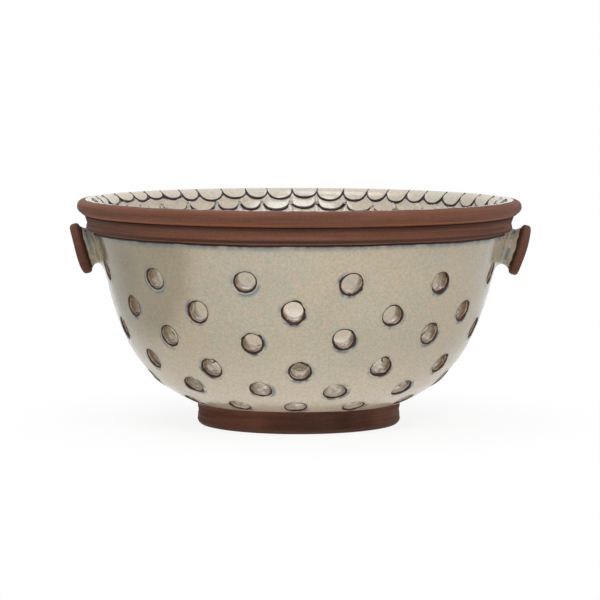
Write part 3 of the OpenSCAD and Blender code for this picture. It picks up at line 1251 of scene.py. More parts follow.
@dataclass
class Rim:
    """The collar round the wall and the rolled lip that sits on it."""

    wall: WallLine
    lip_roll_r: float = 3.0
    collar_proud: float = 3.2
    collar_bead_r: float = 1.8
    seat_proud: float = 2.3
    cove_depth: float = 0.2
    bead_end_lean: float = math.radians(-40)
    edge_round: float = 1.2
    lip_round: float = 1.2
    groove: float = 0.1
    overhang: float = 0.2
    sunk: float = 0.15
    let_in: float = 1.0

    def seat_edge(self) -> Array:
        """The outer end of the joint between the collar and the lip."""
        return self.wall.wall_at(0, self.wall.seat_z) + [self.seat_proud, 0]

    def collar_section(self) -> Array:
        """The collar: a bead at its foot, then a shallow cove up to a rounded edge under the lip.

        Returns:
            Radius and height of its points, one to a row.
        """
        wall = self.wall
        foot = wall.wall_at(0, wall.collar_z)
        centre = foot + [self.collar_proud - self.collar_bead_r, self.collar_bead_r]
        bead = arc(centre, self.collar_bead_r, math.pi / 2, self.bead_end_lean, 16)
        edge = self.seat_edge() - [self.overhang, 0]
        t = np.linspace(0, 1, 16)[1:-4, None]
        cove = bead[-1] + (edge - bead[-1]) * t - np.array([self.cove_depth, 0]) * 4 * t * (1 - t)
        top = corner(cove[-1], edge, edge - [self.edge_round, self.groove])
        inner = [wall.wall_at(self.let_in, level) for level in (wall.seat_z - self.groove, wall.collar_z)]
        return np.vstack([bead, cove, top, inner])

    def lip_section(self) -> Array:
        """The lip: a rounded lower edge, a slope out to the roll, the crest, and the glazed inside.

        Returns:
            Radius and height of its points, one to a row.
        """
        wall = self.wall
        edge = self.seat_edge()
        centre = np.array([wall.lip_r - self.lip_roll_r, wall.bowl_h - self.sunk - self.lip_roll_r])
        apart = edge - centre
        distance = float(np.hypot(*apart))
        touch = math.atan2(-apart[1], apart[0]) - math.acos(self.lip_roll_r / distance)
        roll = arc(centre, self.lip_roll_r, touch, -math.pi / 2, 28)
        slope = (roll[0] - edge) / np.linalg.norm(roll[0] - edge)
        lower = corner(edge - [self.lip_round, 0], edge, edge + slope * self.lip_round)
        inside = arc(wall.shoulder(), wall.lip_inner_r, 1.5 * math.pi, math.pi + wall.wall_lean, 16)
        return np.vstack([[wall.wall_at(wall.wall_t, wall.seat_z)], lower, roll, inside])

    def build(self, material: bpy.types.Material) -> None:
        """Makes the collar and the lip and dresses them.

        Args:
            material: the clay.
        """
        edge = self.seat_edge()
        under = self.wall.wall_at(0, self.wall.collar_z) + [self.collar_proud * 0.55, 0]
        # Painted shade under the collar's bead, in the groove under the lip and over the collar's face below
        # it.
        shaded = (RingMark(under, 1.3, -0.7), RingMark(under + [1.2, 0.3], 1.15, -0.85),
                  RingMark(edge - [self.overhang, 0.6], 2.8, -0.4), RingMark(edge - [self.overhang, 0.9], 1.0, -0.5),
                  RingMark(edge - [0, 4.5], 3.5, -0.1))
        # A painted highlight along the lip's lower edge, and painted shade where the lip meets the collar.
        rubbed = (RingMark(edge + [0.6, 1.2], 0.8, 1.0), RingMark(edge - [0.6, 0], 0.7, -0.5))
        TurnedPiece("collar_ring", ("rim_collar",), self.collar_section(), shaded, seed=20).build(material)
        TurnedPiece("lip_ring", ("rim_lip",), self.lip_section(), rubbed, seed=21).build(material)


@dataclass
class Foot:
    """The turned foot ring, let into the underside of the bowl."""

    wall: WallLine
    foot_t: float = 6.5
    edge_r: float = 2.0
    inner_edge_r: float = 1.2
    let_in: float = 0.8
    waist: float = 0.35
    fillet: float = 0.9

    def section(self) -> Array:
        """The foot ring: rounded lower edges, a slightly waisted outer face, and a fillet to the wall.

        Returns:
            Radius and height of its points, one to a row.
        """
        wall = self.wall
        inner_r = wall.foot_r - self.foot_t
        outer = arc(np.array([wall.foot_r - self.edge_r, self.edge_r]), self.edge_r, math.pi / 2, 0, 10)
        inner = arc(np.array([inner_r + self.inner_edge_r, self.inner_edge_r]), self.inner_edge_r,
                    math.pi, math.pi / 2, 8)
        inner_top = np.interp(inner_r, wall.r, wall.z) + self.let_in
        spread, sunk = (wall.place(0.0, wall.foot_run + self.fillet, lift)[[0, 2]]
                        for lift in (wall.glaze_t, -self.let_in))
        joint = wall.place(0.0, wall.foot_run, wall.glaze_t)[2]
        top = np.array([wall.foot_r, joint - self.fillet])
        t = np.linspace(0, 1, 14)[1:, None]
        face = outer[-1] + (top - outer[-1]) * t - np.array([self.waist, 0]) * np.sin(math.pi * t) ** 2
        fillet = corner(face[-1], np.array([wall.foot_r, joint]), spread)
        return np.vstack([inner, outer, face, fillet[1:], [sunk], [[inner_r, inner_top]]])

    def build(self, material: bpy.types.Material) -> None:
        """Makes the foot ring and dresses it.

        Args:
            material: the clay.
        """
        dusty = (RingMark(np.array([self.wall.foot_r - self.edge_r * 0.4, 0]), 2.0, 0.9),)
        ring = TurnedPiece("foot_turning", ("foot_ring",), self.section(), dusty, seed=22, chatter=0.05)
        ring.build(material)


@dataclass
class Lug:
    """A knob lug: a waisted stem that the glaze runs over, and a bare button on its end."""

    wall: WallLine
    side: str
    turn: float
    stem_l: float
    lug_drop: float = 6.8
    stem_r: float = 9.5
    waist_r: float = 8.0
    skirt: float = 2.6
    button_r: float = 11.75
    button_t: float = 4.2
    edge_r: float = 1.5
    crown: float = 0.25
    core_r: float = 6.0
    sunk: float = 2.0
    spread: float = 2.0
    buried: float = 0.6
    short: float = 0.15
    tuck: float = 0.3
    into_button: float = 0.1
    around: int = 120
    seed: int = 0

    def turned_up(self, radius: Array, height: Array) -> Array:
        """Places of a section turned about the lug's axis, which stands on the wall.

        A point's height over the wall follows the wall's own curve near the foot of the stem: it
        sinks by the square of the step round the bowl over twice the wall's radius of curvature.

        Args:
            radius: distances from the axis, rows by points round it.
            height: distances out of the wall.

        Returns:
            An array with one more axis, for x, y and z.
        """
        angle = full_turns(self.around)
        across = radius * np.cos(angle)
        up = radius * np.sin(angle)
        run = self.wall.collar_run - self.lug_drop
        lean = self.wall.wall_lean
        foot_r = float(np.interp(run, self.wall.run, self.wall.r))
        foot_z = float(np.interp(run, self.wall.run, self.wall.z))
        follow = np.clip(1 - height / self.stem_l, 0, 1)
        out = height - follow * across**2 * math.cos(lean) / (2 * foot_r)
        x = foot_r + out * math.cos(lean) + up * math.sin(lean)
        z = foot_z - out * math.sin(lean) + up * math.cos(lean)
        return np.stack([x * math.cos(self.turn) - across * math.sin(self.turn),
                         x * math.sin(self.turn) + across * math.cos(self.turn), z], axis=-1)

    def stem(self, material: bpy.types.Material) -> None:
        """Makes the glazed stem: flared to the wall, drawn in at the waist and flared to the button.

        Args:
            material: the glaze.
        """
        glaze = self.wall.glaze_t
        share = np.linspace(0, 1, 41) ** 1.6
        waist = self.stem_r + glaze - (self.stem_r - self.waist_r) * np.sin(math.pi * share) ** 1.2
        flare = self.skirt * (1 - share) ** 11
        climb = glaze + (self.stem_l - self.short - glaze) * share
        foot_r = [0, self.core_r, self.stem_r + self.skirt + self.spread]
        radius = np.concatenate([foot_r, waist + flare, [waist[-1] - self.tuck, self.core_r, 0]])
        below = [-self.sunk, -self.sunk, glaze - self.buried]
        end = self.stem_l + self.into_button
        height = np.concatenate([below, climb, [self.stem_l, end, end]])
        pooled = np.concatenate([np.zeros(3), np.sin(math.pi * share) ** 3, np.zeros(3)])
        wander = np.random.default_rng(SEED + self.seed).uniform(0, FULL_TURN, 2)
        angle = full_turns(self.around)
        lump = 0.12 * np.sin(2 * angle + wander[0]) + 0.08 * np.sin(5 * angle + wander[1])
        rows = radius[:, None] * (1 + 0.02 * lump)
        skin = Skin(f"{self.side}_lug_neck")
        skin.add_stack(self.turned_up(rows, np.broadcast_to(height[:, None], rows.shape)),
                       pooled=pooled[:, None], neck=(self.stem_l - height)[:, None], root=height[:, None])
        skin.to_piece(material, Slot.OUTSIDE_GLAZE, f"{self.side}_lug_stem", f"{self.side}_lug_glaze")

    def button(self, material: bpy.types.Material) -> None:
        """Makes the button: a disc with rounded edges, slightly crowned and dented by the fingers.

        Args:
            material: the clay.
        """
        back = np.array([self.button_r - self.edge_r, self.stem_l + self.edge_r])
        front = np.array([back[0], self.stem_l + self.button_t - self.edge_r])
        inner = np.linspace(0, back[0], 10)[:-1]
        crowned = self.stem_l + self.button_t + self.crown * (1 - (inner / back[0]) ** 2)
        back_arc = arc(back, self.edge_r, math.pi / 2, 0, 9)
        front_arc = arc(front, self.edge_r, 0, -math.pi / 2, 9)
        section = np.vstack([np.column_stack([inner, np.full(len(inner), self.stem_l)]), back_arc, front_arc,
                             np.column_stack([inner, crowned])[::-1]])
        angle = full_turns(self.around)
        wander = np.random.default_rng(SEED + self.seed + 1).uniform(0, FULL_TURN, 4)
        dent = sum(0.14 / n * np.sin(n * angle + wander[n - 2]) for n in (2, 3, 5))
        radius = section[:, 0, None] * (1 + dent / self.button_r)
        tilt = section[:, 0, None] / self.button_r * 0.15 * np.sin(3 * angle + wander[2])
        height = section[:, 1, None] + np.where(section[:, 1, None] > front[1], tilt, 0)
        skin = Skin(f"{self.side}_lug_knob")
        skin.add_stack(self.turned_up(radius, height))
        skin.to_piece(material, Slot.BARE_CLAY, f"{self.side}_lug_button")

    def build(self, glaze: bpy.types.Material, clay: bpy.types.Material) -> None:
        """Makes the stem and the button and dresses them."""
        self.stem(glaze)
        self.button(clay)


def linear(color: Rgb) -> tuple[float, float, float, float]:
    """Turns a colour as the eye reads it into the light that a shader takes.

    Args:
        color: red, green and blue in steps of 255.

    Returns:
        The light in red, green and blue, and full cover.
    """
    share = np.array(color) / 255
    light = np.where(share <= 0.04045, share / 12.92, ((share + 0.055) / 1.055) ** 2.4)
    return (*map(float, light), 1.0)


class Wiring:
    """A node tree in the making, with short calls that add a node and return what it gives."""

    def __init__(self, tree: bpy.types.NodeTree, space: str) -> None:
        """Starts on a tree, with places read in that space."""
        self.tree = tree
        self.place = self.node("ShaderNodeTexCoord").outputs[space]

    def node(self, kind: str, feeds: Feeds | None = None, **settings: object) -> bpy.types.ShaderNode:
        """Adds a node, sets its properties and feeds its sockets.

        Args:
            kind: the node's type.
            feeds: what its sockets are fed, by their names or numbers.
            settings: its properties.

        Returns:
            The node.
        """
        made = self.tree.nodes.new(kind)
        for key, value in settings.items():
            setattr(made, key, value)
        for key, value in (feeds or {}).items():
            self.feed(made.inputs[key], value)
        return made

    def feed(self, socket: Socket, value: Socket | float | Rgb | list[float]) -> None:
        """Links a socket to another's output, or sets it.

        Args:
            socket: the socket to feed.
            value: an output, a number, a list of numbers or a colour.
        """
        if isinstance(value, bpy.types.NodeSocket):
            self.tree.links.new(value, socket)
        elif isinstance(value, tuple):
            socket.default_value = linear(value)
        else:
            socket.default_value = value

    def value(self, name: str) -> Socket:
        """A value that the mesh carries at its points."""
        return self.node("ShaderNodeAttribute", attribute_name=name).outputs["Fac"]

    def along(self, axis: str) -> Socket:
        """How far along an axis the place lies."""
        return self.node("ShaderNodeSeparateXYZ", {0: self.place}).outputs[axis]

    def stretched(self, *factors: float) -> Socket:
        """The place, stretched by a factor along each axis."""
        mapping = self.node("ShaderNodeMapping", {"Vector": self.place, "Scale": list(factors)})
        return mapping.outputs["Vector"]

    def noise(self, scale: float, detail: float = 2.0, vector: Socket | None = None,
              rough: float = 0.5) -> Socket:
        """Cloudy noise with that many features to the metre, and finer layers of that number and strength."""
        feeds = {"Vector": vector or self.place, "Scale": scale, "Detail": detail, "Roughness": rough}
        return self.node("ShaderNodeTexNoise", feeds).outputs["Fac"]

    def maths(self, operation: str, first: Socket | float, second: Socket | float = 0.0) -> Socket:
        """One sum of two values."""
        return self.node("ShaderNodeMath", {0: first, 1: second}, operation=operation).outputs[0]

    def product(self, *factors: Socket | float) -> Socket:
        """Multiplies values.

        Args:
            factors: the values.

        Returns:
            Their product.
        """
        total = factors[0]
        for factor in factors[1:]:
            total = self.maths("MULTIPLY", total, factor)
        return total

    def ease(self, value: Socket, low: Socket | float, high: Socket | float,
             bottom: float = 0.0, top: float = 1.0) -> Socket:
        """Goes smoothly from bottom to top as the value goes from low to high."""
        feeds = {"Value": value, "From Min": low, "From Max": high, "To Min": bottom, "To Max": top}
        return self.node("ShaderNodeMapRange", feeds, interpolation_type="SMOOTHSTEP").outputs["Result"]

    def tint(self, share: Socket | float, under: Socket | Rgb, over: Socket | Rgb) -> Socket:
        """The first colour with a share of the second laid over it."""
        return self.node("ShaderNodeMix", {0: share, 6: under, 7: over}, data_type="RGBA").outputs[2]

    def spots(self, color: Socket, over: Rgb, spots: Spots, soft: float, share: float) -> Socket:
        """Lays a share of a colour over round spots whose edges waver and are soft.

        Args:
            color: the colour so far.
            over: the colour of the spots.
            spots: the middle and the reach of each, in millimetres.
            soft: the width of an edge, in millimetres.
            share: the share laid over at the middle.

        Returns:
            The spotted colour.
        """
        waver = self.ease(self.noise(45, 2), 0.2, 0.8, -0.13 * soft * MM, 0.13 * soft * MM)
        for *middle, reach in spots:
            ends = {0: self.place, 1: [step * MM for step in middle]}
            away = self.node("ShaderNodeVectorMath", ends, operation="DISTANCE")
            far = self.maths("ADD", away.outputs["Value"], waver)
            color = self.tint(self.ease(far, reach * MM, (reach - soft) * MM, 0, share), color, over)
        return color

    def shade(self, color: Socket, factor: Socket) -> Socket:
        """The colour with its light multiplied by a factor."""
        feeds = {0: color, "Scale": factor}
        return self.node("ShaderNodeVectorMath", feeds, operation="SCALE").outputs[0]

    def bump(self, height: Socket, distance: float, strength: float) -> Socket:
        """A surface roughened by a height in that many millimetres."""
        feeds = {"Height": height, "Distance": distance * MM, "Strength": strength}
        return self.node("ShaderNodeBump", feeds).outputs["Normal"]

    def seen(self) -> Socket:
        """Tells the rays that the eye or a reflection sends out from those that light the scene.

        Returns:
            One for the former and nothing for the latter.
        """
        path = self.node("ShaderNodeLightPath").outputs
        mirrored = self.maths("MAXIMUM", path["Is Glossy Ray"], path["Is Transmission Ray"])
        return self.maths("MAXIMUM", path["Is Camera Ray"], mirrored)


class Shader(Wiring):
    """A material in the making, which starts with a plain surface."""

    def __init__(self, name: str) -> None:
        """Starts a material, with places read on the piece.

        Args:
            name: the material's name.
        """
        self.material = bpy.data.materials.new(name)
        self.material.use_nodes = True
        super().__init__(self.material.node_tree, "Object")
        self.surface = self.tree.nodes["Principled BSDF"]

    def finish(self, color: Socket, roughness: Socket, normal: Socket) -> bpy.types.Material:
        """Joins the material's parts to its surface.

        Args:
            color: its colour.
            roughness: its roughness.
            normal: its bump.

        Returns:
            The material.
        """
        self.feed(self.surface.inputs["Base Color"], color)
        self.feed(self.surface.inputs["Roughness"], roughness)
        self.feed(self.surface.inputs["Normal"], normal)
        return self.material


@dataclass(frozen=True)
class Glaze:
    """A glossy stoneware glaze: mottled, speckled, pooled blue where thick, broken to clay where thin."""

    name: str
    body: Rgb = (184, 175, 154)
    warm: Rgb = (189, 175, 151)
    cool: Rgb = (170, 168, 151)
    mist: Rgb = (168, 177, 167)
    blush: Rgb = (197, 172, 149)
    pool: Rgb = (92, 117, 126)
    thin: Rgb = (176, 150, 124)
    broken: Rgb = (50, 20, 9)
    bore: Rgb = (144, 119, 92)
    deep_bore: Rgb = (182, 164, 141)
    # A painted highlight: the pale glint laid low in the bores.
    sunken: Rgb = (240, 236, 230)
    # A painted highlight: the pale ring just outside each hole's edge, the pale spots in the bores and the
    # paler bores low on the bowl.
    roll: Rgb = (210, 200, 182)
    fleck: Rgb = (132, 98, 66)
    # A painted dark reflection on the upper left of the front wall, laid by the first three patches; the last
    # two, at the back, are tone of the glaze.
    lean: Rgb = (141, 129, 102)
    painted_reflection_and_tone_patches: Spots = ((-78, -52, 82, 47), (-83, -34, 74, 24), (-75, -48, 76, 14), (52, 76, 60, 38),
                           (-20, 88, 78, 30))
    patch_soft: float = 14.0
    patch_share: float = 0.6
    # Towards the bottom the glaze is tinted: outside paler, as painted bounce light; inside darker, as
    # painted shade.
    thick: Rgb = (235, 220, 199)
    painted_light_and_shade_below: float = 50.0
    # Heights over which the bores grow paler low on the bowl, as a painted highlight for their glints.
    painted_glint_heights: tuple[float, float] = (26.0, 18.0)
    line_in: float = 0.95
    line_out: float = 0.1
    gloss: float = 0.12
    shine: float = 0.36
    crease: tuple[float, float] = (0.45, 0.7)
    haze_reach: float = 3.4

    def ground(self, paint: Shader) -> Socket:
        """The glaze's body: drifting and mottled, paler towards the bottom outside as painted bounce light
        and darker there inside as painted shade, and darker in patches that are a painted dark reflection on
        the upper left and tone at the back.

        Args:
            paint: the material in the making.

        Returns:
            The colour.
        """
        color = paint.tint(paint.ease(paint.noise(26, 3), 0.42, 0.66), self.body, self.warm)
        color = paint.tint(paint.ease(paint.noise(17, 4, paint.stretched(1, 1, 1.6)), 0.5, 0.74, 0, 0.75),
                           color, self.cool)
        mottle = paint.noise(280, 4)
        color = paint.tint(paint.ease(mottle, 0.5, 0.72, 0, 0.36), color, self.mist)
        color = paint.tint(paint.ease(mottle, 0.5, 0.28, 0, 0.36), color, self.blush)
        # Painted bounce light outside and painted shade inside, towards the bottom.
        color = paint.tint(paint.ease(paint.along("Z"), self.painted_light_and_shade_below * MM, 0.0), color, self.thick)
        # Painted dark reflection on the upper left; tone of the glaze at the back.
        color = paint.spots(color, self.lean, self.painted_reflection_and_tone_patches, self.patch_soft, self.patch_share)
        grain = paint.maths("ADD", paint.ease(paint.noise(850, 2), 0.3, 0.7, -0.07, 0.07),
                            paint.ease(paint.noise(2300, 1), 0.3, 0.7, 0.93, 1.07))
        flecks = paint.product(paint.ease(paint.noise(900, 1), 0.76, 0.82), 0.4)
        return paint.tint(flecks, paint.shade(color, grain), self.fleck)

    def around_holes(self, paint: Shader, color: Socket) -> tuple[Socket, Socket]:
        """Lays blue haze, broken glaze, streaks and bore tones round the drain holes over the body, with
        painted highlights: a pale ring just outside each hole's edge, pale glints in the bores, and paler
        bores low on the bowl.

        Args:
            paint: the material in the making.
            color: the glaze's body.

        Returns:
            The colour, and the share of broken glaze.
        """
        gap = paint.value("hole_gap")
        low = paint.value("hole_low")
        tone = paint.value("hole_tone")
        wander = paint.noise(260, 3)
        blots = paint.noise(190, 2)
        middle = paint.product(paint.ease(low, -0.5, 1, 0.5, 1), paint.ease(tone, 0, 0.7, 1.1, 0.65))
        near = paint.product(paint.ease(gap, paint.maths("ADD", middle, 1.7), middle),
                             paint.ease(gap, paint.maths("SUBTRACT", middle, 1.1), middle))
        haze = paint.product(near, paint.ease(blots, 0.4, 0.56, 0.1, 1), paint.ease(tone, 0, 1, 0.8, 1),
                             paint.ease(low, -0.6, 0.4, 0.2, 1))
        color = paint.tint(haze, color, self.pool)
        # Painted highlight: a pale ring just outside the hole's edge.
        painted_highlight_ring = paint.product(paint.ease(gap, 0.05, 0.3), paint.ease(gap, 1.0, 0.5),
                               paint.ease(tone, 0.1, 0.5, 0.35, 0), paint.ease(low, -0.3, 0.5))
        color = paint.tint(painted_highlight_ring, color, self.roll)
        color = paint.tint(paint.ease(gap, -0.7, -1.5), color, self.bore)
        color = paint.tint(paint.ease(gap, -1.9, -3.2), color, self.deep_bore)
        # Painted highlight: the bores grow paler low on the bowl.
        painted_glint_low = paint.ease(paint.along("Z"), *(level * MM for level in self.painted_glint_heights), 0, 0.75)
        color = paint.tint(paint.product(painted_glint_low, paint.ease(gap, -0.7, -1.5)), color, self.roll)
        runs = paint.noise(420, 2)
        sunken = paint.ease(gap, -1.0, -1.6)
        color = paint.tint(paint.product(sunken, paint.ease(runs, 0.54, 0.66, 0, 0.3)), color, self.fleck)
        # Painted highlight: pale glint spots in the bore.
        color = paint.tint(paint.product(sunken, paint.ease(runs, 0.44, 0.34, 0, 0.5)), color, self.roll)
        # Painted highlight: a pale glint low in the bore.
        pooled = paint.product(paint.ease(gap, -2.2, -3.0), paint.ease(low, 0.2, 0.8),
                               paint.ease(runs, 0.58, 0.42, 0.1, 0.9))
        color = paint.tint(pooled, color, self.sunken)
        shaky = paint.maths("ADD", paint.ease(wander, 0.25, 0.75, -0.2, 0.2),
                            paint.product(paint.ease(blots, 0.5, 0.68, 0, 0.7), paint.ease(tone, 0.1, 0.9)))
        inner = paint.maths("SUBTRACT", -self.line_in, shaky)
        spread = paint.product(paint.ease(tone, 0.3, 1, 0, 0.25), paint.ease(low, -0.6, 0.3))
        outer = paint.maths("ADD", paint.ease(low, -1, 1, self.line_out - 0.2, self.line_out),
                            paint.maths("ADD", paint.product(shaky, 0.8), spread))
        line = paint.product(paint.ease(gap, inner, paint.maths("ADD", inner, 0.2)),
                             paint.ease(gap, paint.maths("ADD", outer, 0.18), outer))
        return paint.tint(line, color, self.broken), line

    def along_breaks(self, paint: Shader, color: Socket) -> tuple[Socket, Socket]:
        """Lays the dark line and the blue haze along the coat's edge or the edges of the scales.

        Args:
            paint: the material in the making.
            color: the glaze so far.

        Returns:
            The colour, and the share of broken glaze.
        """
        gap = paint.value("break_gap")
        wander = paint.noise(210, 2)
        haze = paint.product(paint.ease(gap, self.haze_reach, 0.3), paint.ease(gap, -1.2, 0.2),
                             paint.ease(wander, 0.25, 0.65, 0.3, 0.9))
        color = paint.tint(haze, color, self.pool)
        thick = paint.ease(wander, 0.3, 0.7, *self.crease)
        line = paint.product(paint.ease(gap, -0.32, -0.16),
                             paint.ease(gap, paint.maths("ADD", thick, 0.25), thick))
        return paint.tint(line, color, self.broken), line

    def material(self) -> bpy.types.Material:
        """Makes the glaze for a coat with drain holes.

        Returns:
            The material.
        """
        paint = Shader(self.name)
        color, edge = self.around_holes(paint, self.ground(paint))
        color, crease = self.along_breaks(paint, color)
        return self.glossed(paint, color, paint.maths("MAXIMUM", edge, crease))

    def neck_material(self) -> bpy.types.Material:
        """Makes the glaze for a lug's stem: blue where it pools in the waist, broken against the button.

        Returns:
            The material.
        """
        paint = Shader(self.name + "_neck")
        wander = paint.noise(300, 3)
        waist = paint.value("pooled")
        ground = replace(self, painted_reflection_and_tone_patches=()).ground(paint)
        color = paint.tint(paint.ease(waist, 0.1, 0.6, 0, 0.45), ground, self.thin)
        pooled = paint.product(paint.ease(waist, 0.6, 1.0), paint.ease(paint.noise(150, 2), 0.3, 0.52))
        color = paint.tint(pooled, color, self.pool)
        root = paint.value("root")
        smear = paint.product(paint.ease(root, 2.3, 1.7), paint.ease(root, 0.8, 1.2),
                              paint.ease(wander, 0.42, 0.56, 0, 0.5))
        color = paint.tint(smear, color, self.fleck)
        edge = paint.maths("ADD", paint.value("neck"), paint.ease(wander, 0.2, 0.8, -0.25, 0.25))
        line = paint.ease(edge, 1.1, 0.85)
        return self.glossed(paint, paint.tint(line, color, self.broken), line)

    def glossed(self, paint: Shader, color: Socket, dull: Socket) -> bpy.types.Material:
        """Gives the glaze its gloss, and the unevenness that breaks up reflections.

        Args:
            paint: the material in the making.
            color: the glaze's colour.
            dull: the share of broken glaze, which is duller.

        Returns:
            The material.
        """
        satin = paint.ease(paint.noise(90, 2), 0.3, 0.7, self.gloss, self.gloss + 0.1)
        roughness = paint.maths("ADD", satin, paint.product(dull, 0.4))
        paint.surface.inputs["Specular IOR Level"].default_value = self.shine
        return paint.finish(color, roughness, paint.bump(paint.noise(520, 2), 0.05, 0.35))


@dataclass(frozen=True)
class Clay:
    """Bare fired clay: dark, matt, faintly streaked along the throwing lines, with rusty patches and smudges;
    ring marks lay dust and a painted highlight, and painted shade in the rim's grooves.

    The streaks are noise that is drawn out round the bowl and pressed together up the bowl.
    """

    name: str
    body: Rgb = (115, 75, 58)
    deep: Rgb = (94, 59, 45)
    rubbed: Rgb = (128, 88, 73)
    # Rusty patches, and over the ring marks above zero: dust on the foot, a painted highlight on the lip.
    rust_and_painted_highlight: Rgb = (150, 86, 50)
    # Smudges, and painted shade where the ring marks fall below zero.
    smudge_and_painted_shade: Rgb = (58, 36, 27)
    smudges: Spots = ()
    smudge_soft: float = 13.0
    smudge_share: float = 0.55
    drawn: float = 0.35
    pressed: float = 8.0
    roughness: float = 0.6
    shine: float = 0.16

    def material(self) -> bpy.types.Material:
        """Makes the clay.

        Returns:
            The material.
        """
        paint = Shader(self.name)
        slow = paint.noise(34, 4, paint.stretched(self.drawn, self.drawn, self.pressed), rough=0.6)
        lines = paint.noise(70, 3, paint.stretched(self.drawn, self.drawn, self.pressed * 3))
        patches = paint.noise(30, 3, paint.stretched(1, 1, 2))
        color = paint.tint(paint.ease(slow, 0.4, 0.66, 0, 0.75), self.body, self.deep)
        color = paint.tint(paint.ease(lines, 0.48, 0.72, 0, 0.4), color, self.rubbed)
        color = paint.tint(paint.ease(patches, 0.5, 0.8, 0, 0.45), color, self.rust_and_painted_highlight)
        color = paint.spots(color, self.smudge_and_painted_shade, self.smudges, self.smudge_soft, self.smudge_share)
        wear = paint.value("wear")
        # Ring marks above zero lay rust (dust on the foot, a painted highlight on the lip); below zero they
        # lay painted shade.
        dust_and_painted_highlight = paint.product(paint.ease(wear, 0.1, 0.8), paint.ease(lines, 0.3, 0.55))
        color = paint.tint(dust_and_painted_highlight, color, self.rust_and_painted_highlight)
        color = paint.tint(paint.ease(wear, -0.1, -0.9, 0, 0.85), color, self.smudge_and_painted_shade)
        color = paint.shade(color, paint.ease(paint.noise(1300, 2), 0.3, 0.7, 0.9, 1.09))
        rough = paint.ease(slow, 0.3, 0.7, self.roughness, self.roughness + 0.14)
        grit = paint.maths("ADD", paint.noise(900, 3), paint.product(lines, 0.8))
        paint.surface.inputs["Specular IOR Level"].default_value = self.shine
        return paint.finish(color, rough, paint.bump(grit, 0.1, 0.45))


@dataclass(frozen=True)
class Lamp:
    """A soft box: where it stands, where it looks, its sides and its power."""

    name: str
    at: tuple[float, float, float]
    towards: tuple[float, float, float]
    width: float
    height: float
    watts: float

    def build(self) -> None:
        """Sets up the lamp."""
        data = bpy.data.lights.new(self.name, "AREA")
        data.shape = "RECTANGLE"
        data.size = self.width
        data.size_y = self.height
        data.energy = self.watts
        lamp = bpy.data.objects.new(self.name, data)
        bpy.context.scene.collection.objects.link(lamp)
        lamp.location = self.at
        aim = np.array(self.towards) - np.array(self.at)
        lamp.rotation_euler = (math.acos(-aim[2] / np.linalg.norm(aim)), 0, math.atan2(-aim[0], aim[1]))


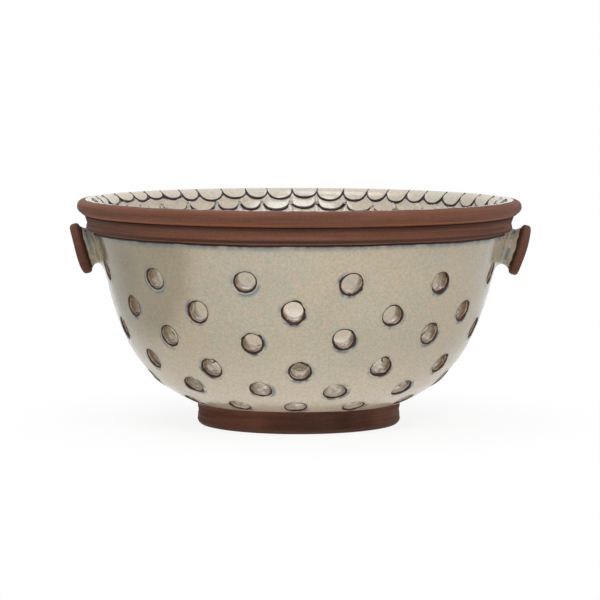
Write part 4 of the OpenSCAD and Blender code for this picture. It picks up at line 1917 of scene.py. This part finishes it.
@dataclass
class Studio:
    """The plain setting: a white floor that keeps the shadow, a white surround, soft boxes, the camera."""

    camera_at: tuple[float, float, float] = (0.00058, -1.4702, 0.1836)
    camera_dip: float = 0.0863
    lens: float = 192.7
    sensor: float = 36.0
    fill: float = 0.4
    dim_fill: float = 0.08
    fill_span: tuple[float, float] = (-0.7, 0.3)
    floor_radii: tuple[float, ...] = (0.0, 0.2, 0.6, 3.0)
    floor_points: int = 64
    paper: Rgb = (246, 246, 245)
    shadow_core: float = 0.25
    shadow_share: float = 0.12
    shadow_r: float = 0.17
    lamps: tuple[Lamp, ...] = (
        Lamp("key_box", (0.03, -0.83, 1.0), (0, 0, 0.09), 1.0, 0.35, 7.5),
        Lamp("low_box", (0.05, -1.9, 0.3), (0, 0, 0.05), 0.8, 0.4, 5.5),
        Lamp("top_box", (-0.3, 0.0, 1.3), (0, 0, 0.05), 0.7, 0.7, 5.8))

    def camera(self) -> None:
        """Sets up the camera at the photograph's viewing angle."""
        data = bpy.data.cameras.new("camera")
        data.lens = self.lens
        data.sensor_width = self.sensor
        camera = bpy.data.objects.new("camera", data)
        bpy.context.scene.collection.objects.link(camera)
        camera.location = self.camera_at
        camera.rotation_euler = (math.pi / 2 - self.camera_dip, 0, 0)
        bpy.context.scene.camera = camera

    def floor(self) -> None:
        """Lays a round floor: concentric rings of points, white far off and shaded near the bowl."""
        radius = np.array(self.floor_radii)[:, None]
        points = turned(radius, full_turns(self.floor_points), 0.0)[None]
        faces = stack_faces(points.shape[:3], True, True)
        mesh = bpy.data.meshes.new("floor")
        mesh.from_pydata(points.reshape(-1, 3), [], faces.tolist())
        mesh.validate()
        floor = bpy.data.objects.new("floor", mesh)
        bpy.context.scene.collection.objects.link(floor)
        mesh.materials.append(self.floor_material())

    def floor_material(self) -> bpy.types.Material:
        """White paper: matt to the light, and to the camera mostly white with a share of real shading.

        Returns:
            The material.
        """
        paint = Shader("white_paper")
        nodes = paint.tree.nodes
        paper = paint.node("ShaderNodeBsdfDiffuse", {"Color": self.paper})
        white = paint.node("ShaderNodeEmission")
        away = paint.node("ShaderNodeVectorMath", {0: paint.place}, operation="LENGTH").outputs["Value"]
        shown = paint.ease(away, self.shadow_r * self.shadow_core, self.shadow_r, self.shadow_share, 0)
        whitened = paint.product(paint.seen(), paint.maths("SUBTRACT", 1.0, shown))
        mix = paint.node("ShaderNodeMixShader", {0: whitened, 1: paper.outputs[0], 2: white.outputs[0]})
        nodes.remove(paint.surface)
        paint.feed(nodes["Material Output"].inputs["Surface"], mix.outputs[0])
        return paint.material

    def surround(self) -> None:
        """Surrounds the scene with white for the eye and reflections, and a fill that is dim on the left."""
        world = bpy.data.worlds.new("surround")
        bpy.context.scene.world = world
        world.use_nodes = True
        sky = Wiring(world.node_tree, "Generated")
        fill = sky.ease(sky.along("X"), *self.fill_span, self.dim_fill, self.fill)
        strength = sky.node("ShaderNodeMapRange", {"Value": sky.seen(), "To Min": fill})
        background = sky.tree.nodes["Background"]
        background.inputs["Color"].default_value = (1, 1, 1, 1)
        sky.feed(background.inputs["Strength"], strength.outputs["Result"])

    def build(self) -> None:
        """Sets up the camera, the floor, the surround and the lamps."""
        self.camera()
        self.floor()
        self.surround()
        for lamp in self.lamps:
            lamp.build()
        bpy.context.scene.view_settings.view_transform = "Standard"


def main() -> None:
    """Builds the pieces in order, dresses them and sets up the studio."""
    logging.basicConfig(level=logging.INFO, format="%(name)s: %(message)s")
    for name in ("Cube", "Light", "Camera"):
        left_over = bpy.data.objects.get(name)
        if left_over:
            bpy.data.objects.remove(left_over)
    Studio().build()
    wall = WallLine()
    plan = HolePlan(wall)
    outside = Glaze("sand_glaze")
    # The inside glaze grows darker below 75 mm, as painted shade.
    inside = Glaze("cream_glaze", body=(207, 197, 180), warm=(206, 192, 172), cool=(198, 195, 184),
                   pool=(190, 199, 202), bore=(202, 188, 168), painted_reflection_and_tone_patches=(), line_in=0.7, line_out=0.0,
                   crease=(0.34, 0.6), haze_reach=1.5, shine=0.55,
                   thick=(188, 174, 152), painted_light_and_shade_below=75)
    bare_clay = Clay("rim_clay").material()
    smudges = ((-4, -46, 1, 17), (12, -45, 4, 18), (26, -38, 6, 17), (45, 12, 4, 15), (30, 36, 5, 20),
               (-20, 42, 4, 18), (-46, 5, 6, 15))
    foot_clay = Clay("foot_clay", (114, 72, 56), (84, 51, 39), (122, 90, 76), (118, 92, 80), (48, 29, 22),
                     smudges, shine=0.12).material()
    button_clay = Clay("button_clay", (108, 72, 58), (92, 58, 46), drawn=1, pressed=1).material()
    OutsideCoat(plan).build(outside.material())
    InsideCoat(plan).build(inside.material())
    ClayWall(plan).build(Clay("body_clay", body=(134, 96, 76), deep=(110, 76, 58)).material())
    Rim(wall).build(bare_clay)
    Foot(wall).build(foot_clay)
    neck = outside.neck_material()
    Lug(wall, "right", 0.0, 7.2, seed=30).build(neck, button_clay)
    Lug(wall, "left", math.pi, 5.9, seed=40).build(neck, button_clay)


if __name__ == "__main__":
    main()
